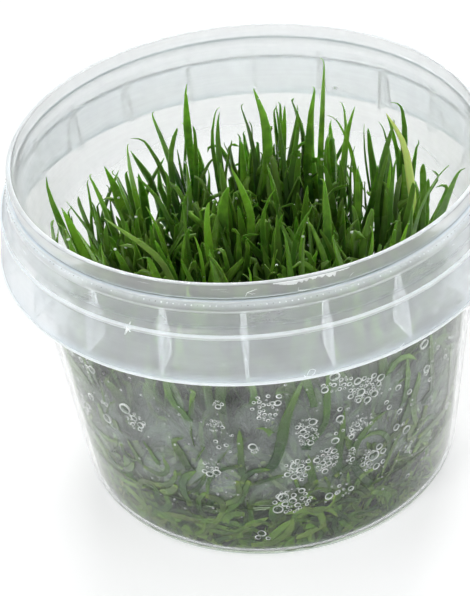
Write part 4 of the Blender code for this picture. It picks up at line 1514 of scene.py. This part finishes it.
# Clusters of foam: azimuth in degrees from the front, height, half width and half height, how
# many bubbles, and their usual radius.
Foam = namedtuple("Foam", "azimuth height half_width half_height count radius")
FOAM = (
    (17, 47, 3.1, 2.2, 18, 0.54), (25, 43, 3.9, 3.3, 34, 0.62), (9, 36, 2.3, 3.8, 30, 0.46),
    (14, 27, 2.3, 3.3, 26, 0.62), (24, 34, 2.6, 1.7, 24, 0.46), (21, 32, 0.8, 1.4, 8, 0.4),
    (26, 23, 1.4, 3.3, 24, 0.37), (21, 26, 0.9, 2.4, 12, 0.34), (6, 26, 2.6, 3.2, 24, 0.44),
    (4, 17, 3.8, 3.6, 32, 0.5), (-1, 44, 2.6, 3.5, 24, 0.46), (-14, 39, 1.8, 1.7, 18, 0.34),
    (-17, 27, 1.7, 2.7, 12, 0.42), (-5, 33, 1, 1.5, 8, 0.43), (-13, 45, 1, 1.1, 6, 0.34),
    (41, 20, 1.3, 1.9, 7, 0.34), (49, 14, 1.7, 2.9, 8, 0.3), (-38, 35, 2.3, 2.5, 18, 0.42),
    (-53, 44, 2.1, 2.7, 7, 0.37), (19, 17, 2.2, 1.8, 8, 0.37),
)

# Single bubbles: azimuth, height, radius.
BUBBLES = (
    (35.3, 39.1, 0.75), (39.5, 35.9, 0.65), (31.5, 36.8, 0.56), (32.5, 35, 0.62),
    (36.2, 32.2, 0.71), (35.4, 28.1, 0.84), (39.3, 25.6, 1.03), (37.9, 28, 0.41), (17.8, 40, 0.56),
    (17.8, 37.4, 0.93), (16.4, 31.7, 0.86), (18.1, 36.2, 0.37), (16.6, 33.7, 0.47),
    (18.6, 34, 0.37), (28, 23.4, 1.31), (29.7, 25.2, 0.79), (31.1, 23.4, 0.75), (28.9, 19.9, 0.86),
    (31.1, 20.4, 0.56), (5, 27, 0.86), (6.7, 25.6, 0.93), (45.9, 37.8, 0.75), (47.9, 34.9, 0.56),
    (44.2, 46.1, 1.12), (46, 38.7, 0.93), (60.4, 20.6, 0.93), (41, 11.4, 0.6), (16.7, 16.6, 0.56),
    (20.9, 16.5, 0.67), (14.3, 16.2, 0.93), (1.4, 18.4, 1.21), (-5.5, 7.9, 0.93), (-3.9, 6.3, 0.56),
    (-6.8, 6.7, 0.64), (-15.9, 25.8, 0.82), (-19.3, 25.7, 0.56), (-55.5, 34.5, 0.93),
    (-49.7, 31.1, 1.12), (-40.9, 37.6, 1.31), (2.4, 46.8, 0.6), (0.8, 45.1, 0.56),
    (-49.9, 35.7, 0.45), (-48.3, 35.7, 0.56), (-12.2, 33.9, 0.49), (-14.2, 33.2, 0.52),
    (-14.8, 34.8, 0.49), (55.2, 37, 0.56), (50.5, 42, 0.56), (153.1, 61.9, 0.4),
    (150.1, 56.7, 0.35), (151, 58.5, 0.3),
)
SIDE_FOAMS = 22
SIDE_BUBBLES = 90
LOOSE_BUBBLES = 110
FRONT_HALF = 62.0                # degrees: beyond it the bubbles lie as they happened to


def add_bubble(skin, azimuth, height, radius, draw):
    """A low closed dome on the inner wall, with a milky white rim that is broader and whiter on
    one side: the rim is a painted reflection of the light that a bubble's edge gives back.
    """
    angle = front_angle(azimuth)
    outward = level(angle) * MM
    side = level(angle + math.pi / 2) * MM
    up = (Vector((0.0, 0.0, 1.0)) + WALL_FLARE * level(angle)).normalized() * MM
    centre = spot(angle, wall_radius(height) - WALL - BUBBLE_INSET, height)
    sides = 8 if radius < 0.3 else 12 if radius < 0.6 else 20
    stroke = min(0.42 * radius, BUBBLE_RIM + 0.05 * radius) / radius
    squeeze = draw.uniform(0.86, 1.0)
    tilt = draw.uniform(0.0, math.pi)
    # The rim is painted broader and whiter towards this side, as a painted highlight.
    brighter_painted_side = draw.uniform(0.3, 1.3) + (math.pi if draw.random() < 0.6 else 0.0)
    long_way = side * math.cos(tilt) + up * math.sin(tilt)
    short_way = (up * math.cos(tilt) - side * math.sin(tilt)) * squeeze
    deep = BUBBLE_DEEP * radius
    turns = [math.tau * index / sides for index in range(sides)]
    rings = []
    milks = []
    for share, depth, milk in (
            (1.0 - 1.3 * stroke, 0.16 * deep, 0.04), (1.0 - stroke, 0.7 * deep, 0.85),
            (1.0 - 0.45 * stroke, deep, 1.0), (1.0, 0.25 * deep, 1.0), (1.0, 0.0, 1.0),
            (1.0 - stroke, 0.0, 0.8), (1.0 - 1.25 * stroke, 0.0, 0.03)):
        reaches = [radius * share * (1.0 - 0.5 * (1.0 - share) * math.cos(turn - brighter_painted_side))
                   for turn in turns]
        rings.append([centre - outward * depth + long_way * reach * math.cos(turn)
                      + short_way * reach * math.sin(turn) for turn, reach in zip(turns, reaches)])
        milks.append([milk * (0.84 + 0.16 * math.cos(turn - brighter_painted_side)) for turn in turns])
    skin.add_tube(rings, [centre - outward * 0.12 * deep, centre], haze=milks)


def foam_spots(foam, draw):
    """Places and radii of a cluster's bubbles, which touch and don't overlap."""
    spots = []
    for attempt in range(FOAM_TRIES * foam.count):
        if len(spots) == foam.count:
            break
        angle = draw.uniform(0.0, math.tau)
        out = math.sqrt(draw.random())
        x = foam.half_width * out * math.cos(angle)
        y = foam.half_height * out * math.sin(angle)
        radius = max(SMALLEST_FOAM_BUBBLE, foam.radius * draw.lognormvariate(-0.06, 0.42))
        if all(math.hypot(x - a, y - b) > FOAM_CLOSENESS * (radius + c)
               for a, b, c in spots):
            spots.append((x, y, radius))
    reach = wall_radius(foam.height) - WALL
    return [(foam.azimuth + math.degrees(x / reach), foam.height + y, radius)
            for x, y, radius in spots]


def side_azimuth(share):
    return FRONT_HALF + (360.0 - 2 * FRONT_HALF) * share


def side_foams(draw):
    """Clusters on the cup's sides and back."""
    return [(side_azimuth((index + draw.random()) / SIDE_FOAMS), draw.uniform(18.0, 40.0),
             draw.uniform(0.8, 3.6), draw.uniform(1.0, 3.6), draw.randint(6, 30),
             draw.uniform(0.32, 0.6)) for index in range(SIDE_FOAMS)]


def foam_with_painted_rims():
    """Thin water skin: milky white rims, a painted reflection of the light that a bubble's edge
    gives back, and clear middles that darken what is seen through them.
    """
    foam = Finish("foam")
    milk = foam.mark("haze")
    return foam.dress({
        "Transmission Weight": foam.left_from_one(milk),
        "Base Color": foam.mix(milk, (0.52, 0.61, 0.52, 1.0), (1.0, 1.0, 1.0, 1.0)),
        "Roughness": 0.05,
        "IOR": 1.1,
    })


def make_bubbles():
    draw = random.Random(BUBBLE_SEED)
    spots = list(BUBBLES)
    for row in FOAM + tuple(side_foams(draw)):
        spots += foam_spots(Foam(*row), draw)
    for index in range(SIDE_BUBBLES):
        spots.append((side_azimuth(draw.random()), draw.uniform(5.0, 41.0),
                      0.25 + 0.95 * draw.random() ** 2.5))
    for index in range(LOOSE_BUBBLES):
        spots.append((draw.uniform(-FRONT_HALF, FRONT_HALF), draw.uniform(12.0, 50.0),
                      draw.uniform(0.16, 0.32)))
    skin = Skin()
    for place in spots:
        add_bubble(skin, *place, draw)
    bubbles = add_piece("wall_bubbles", skin.to_mesh("wall_bubbles"), foam_with_painted_rims())
    let_light_in(bubbles)
    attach(bubbles, "root")


make_bubbles()
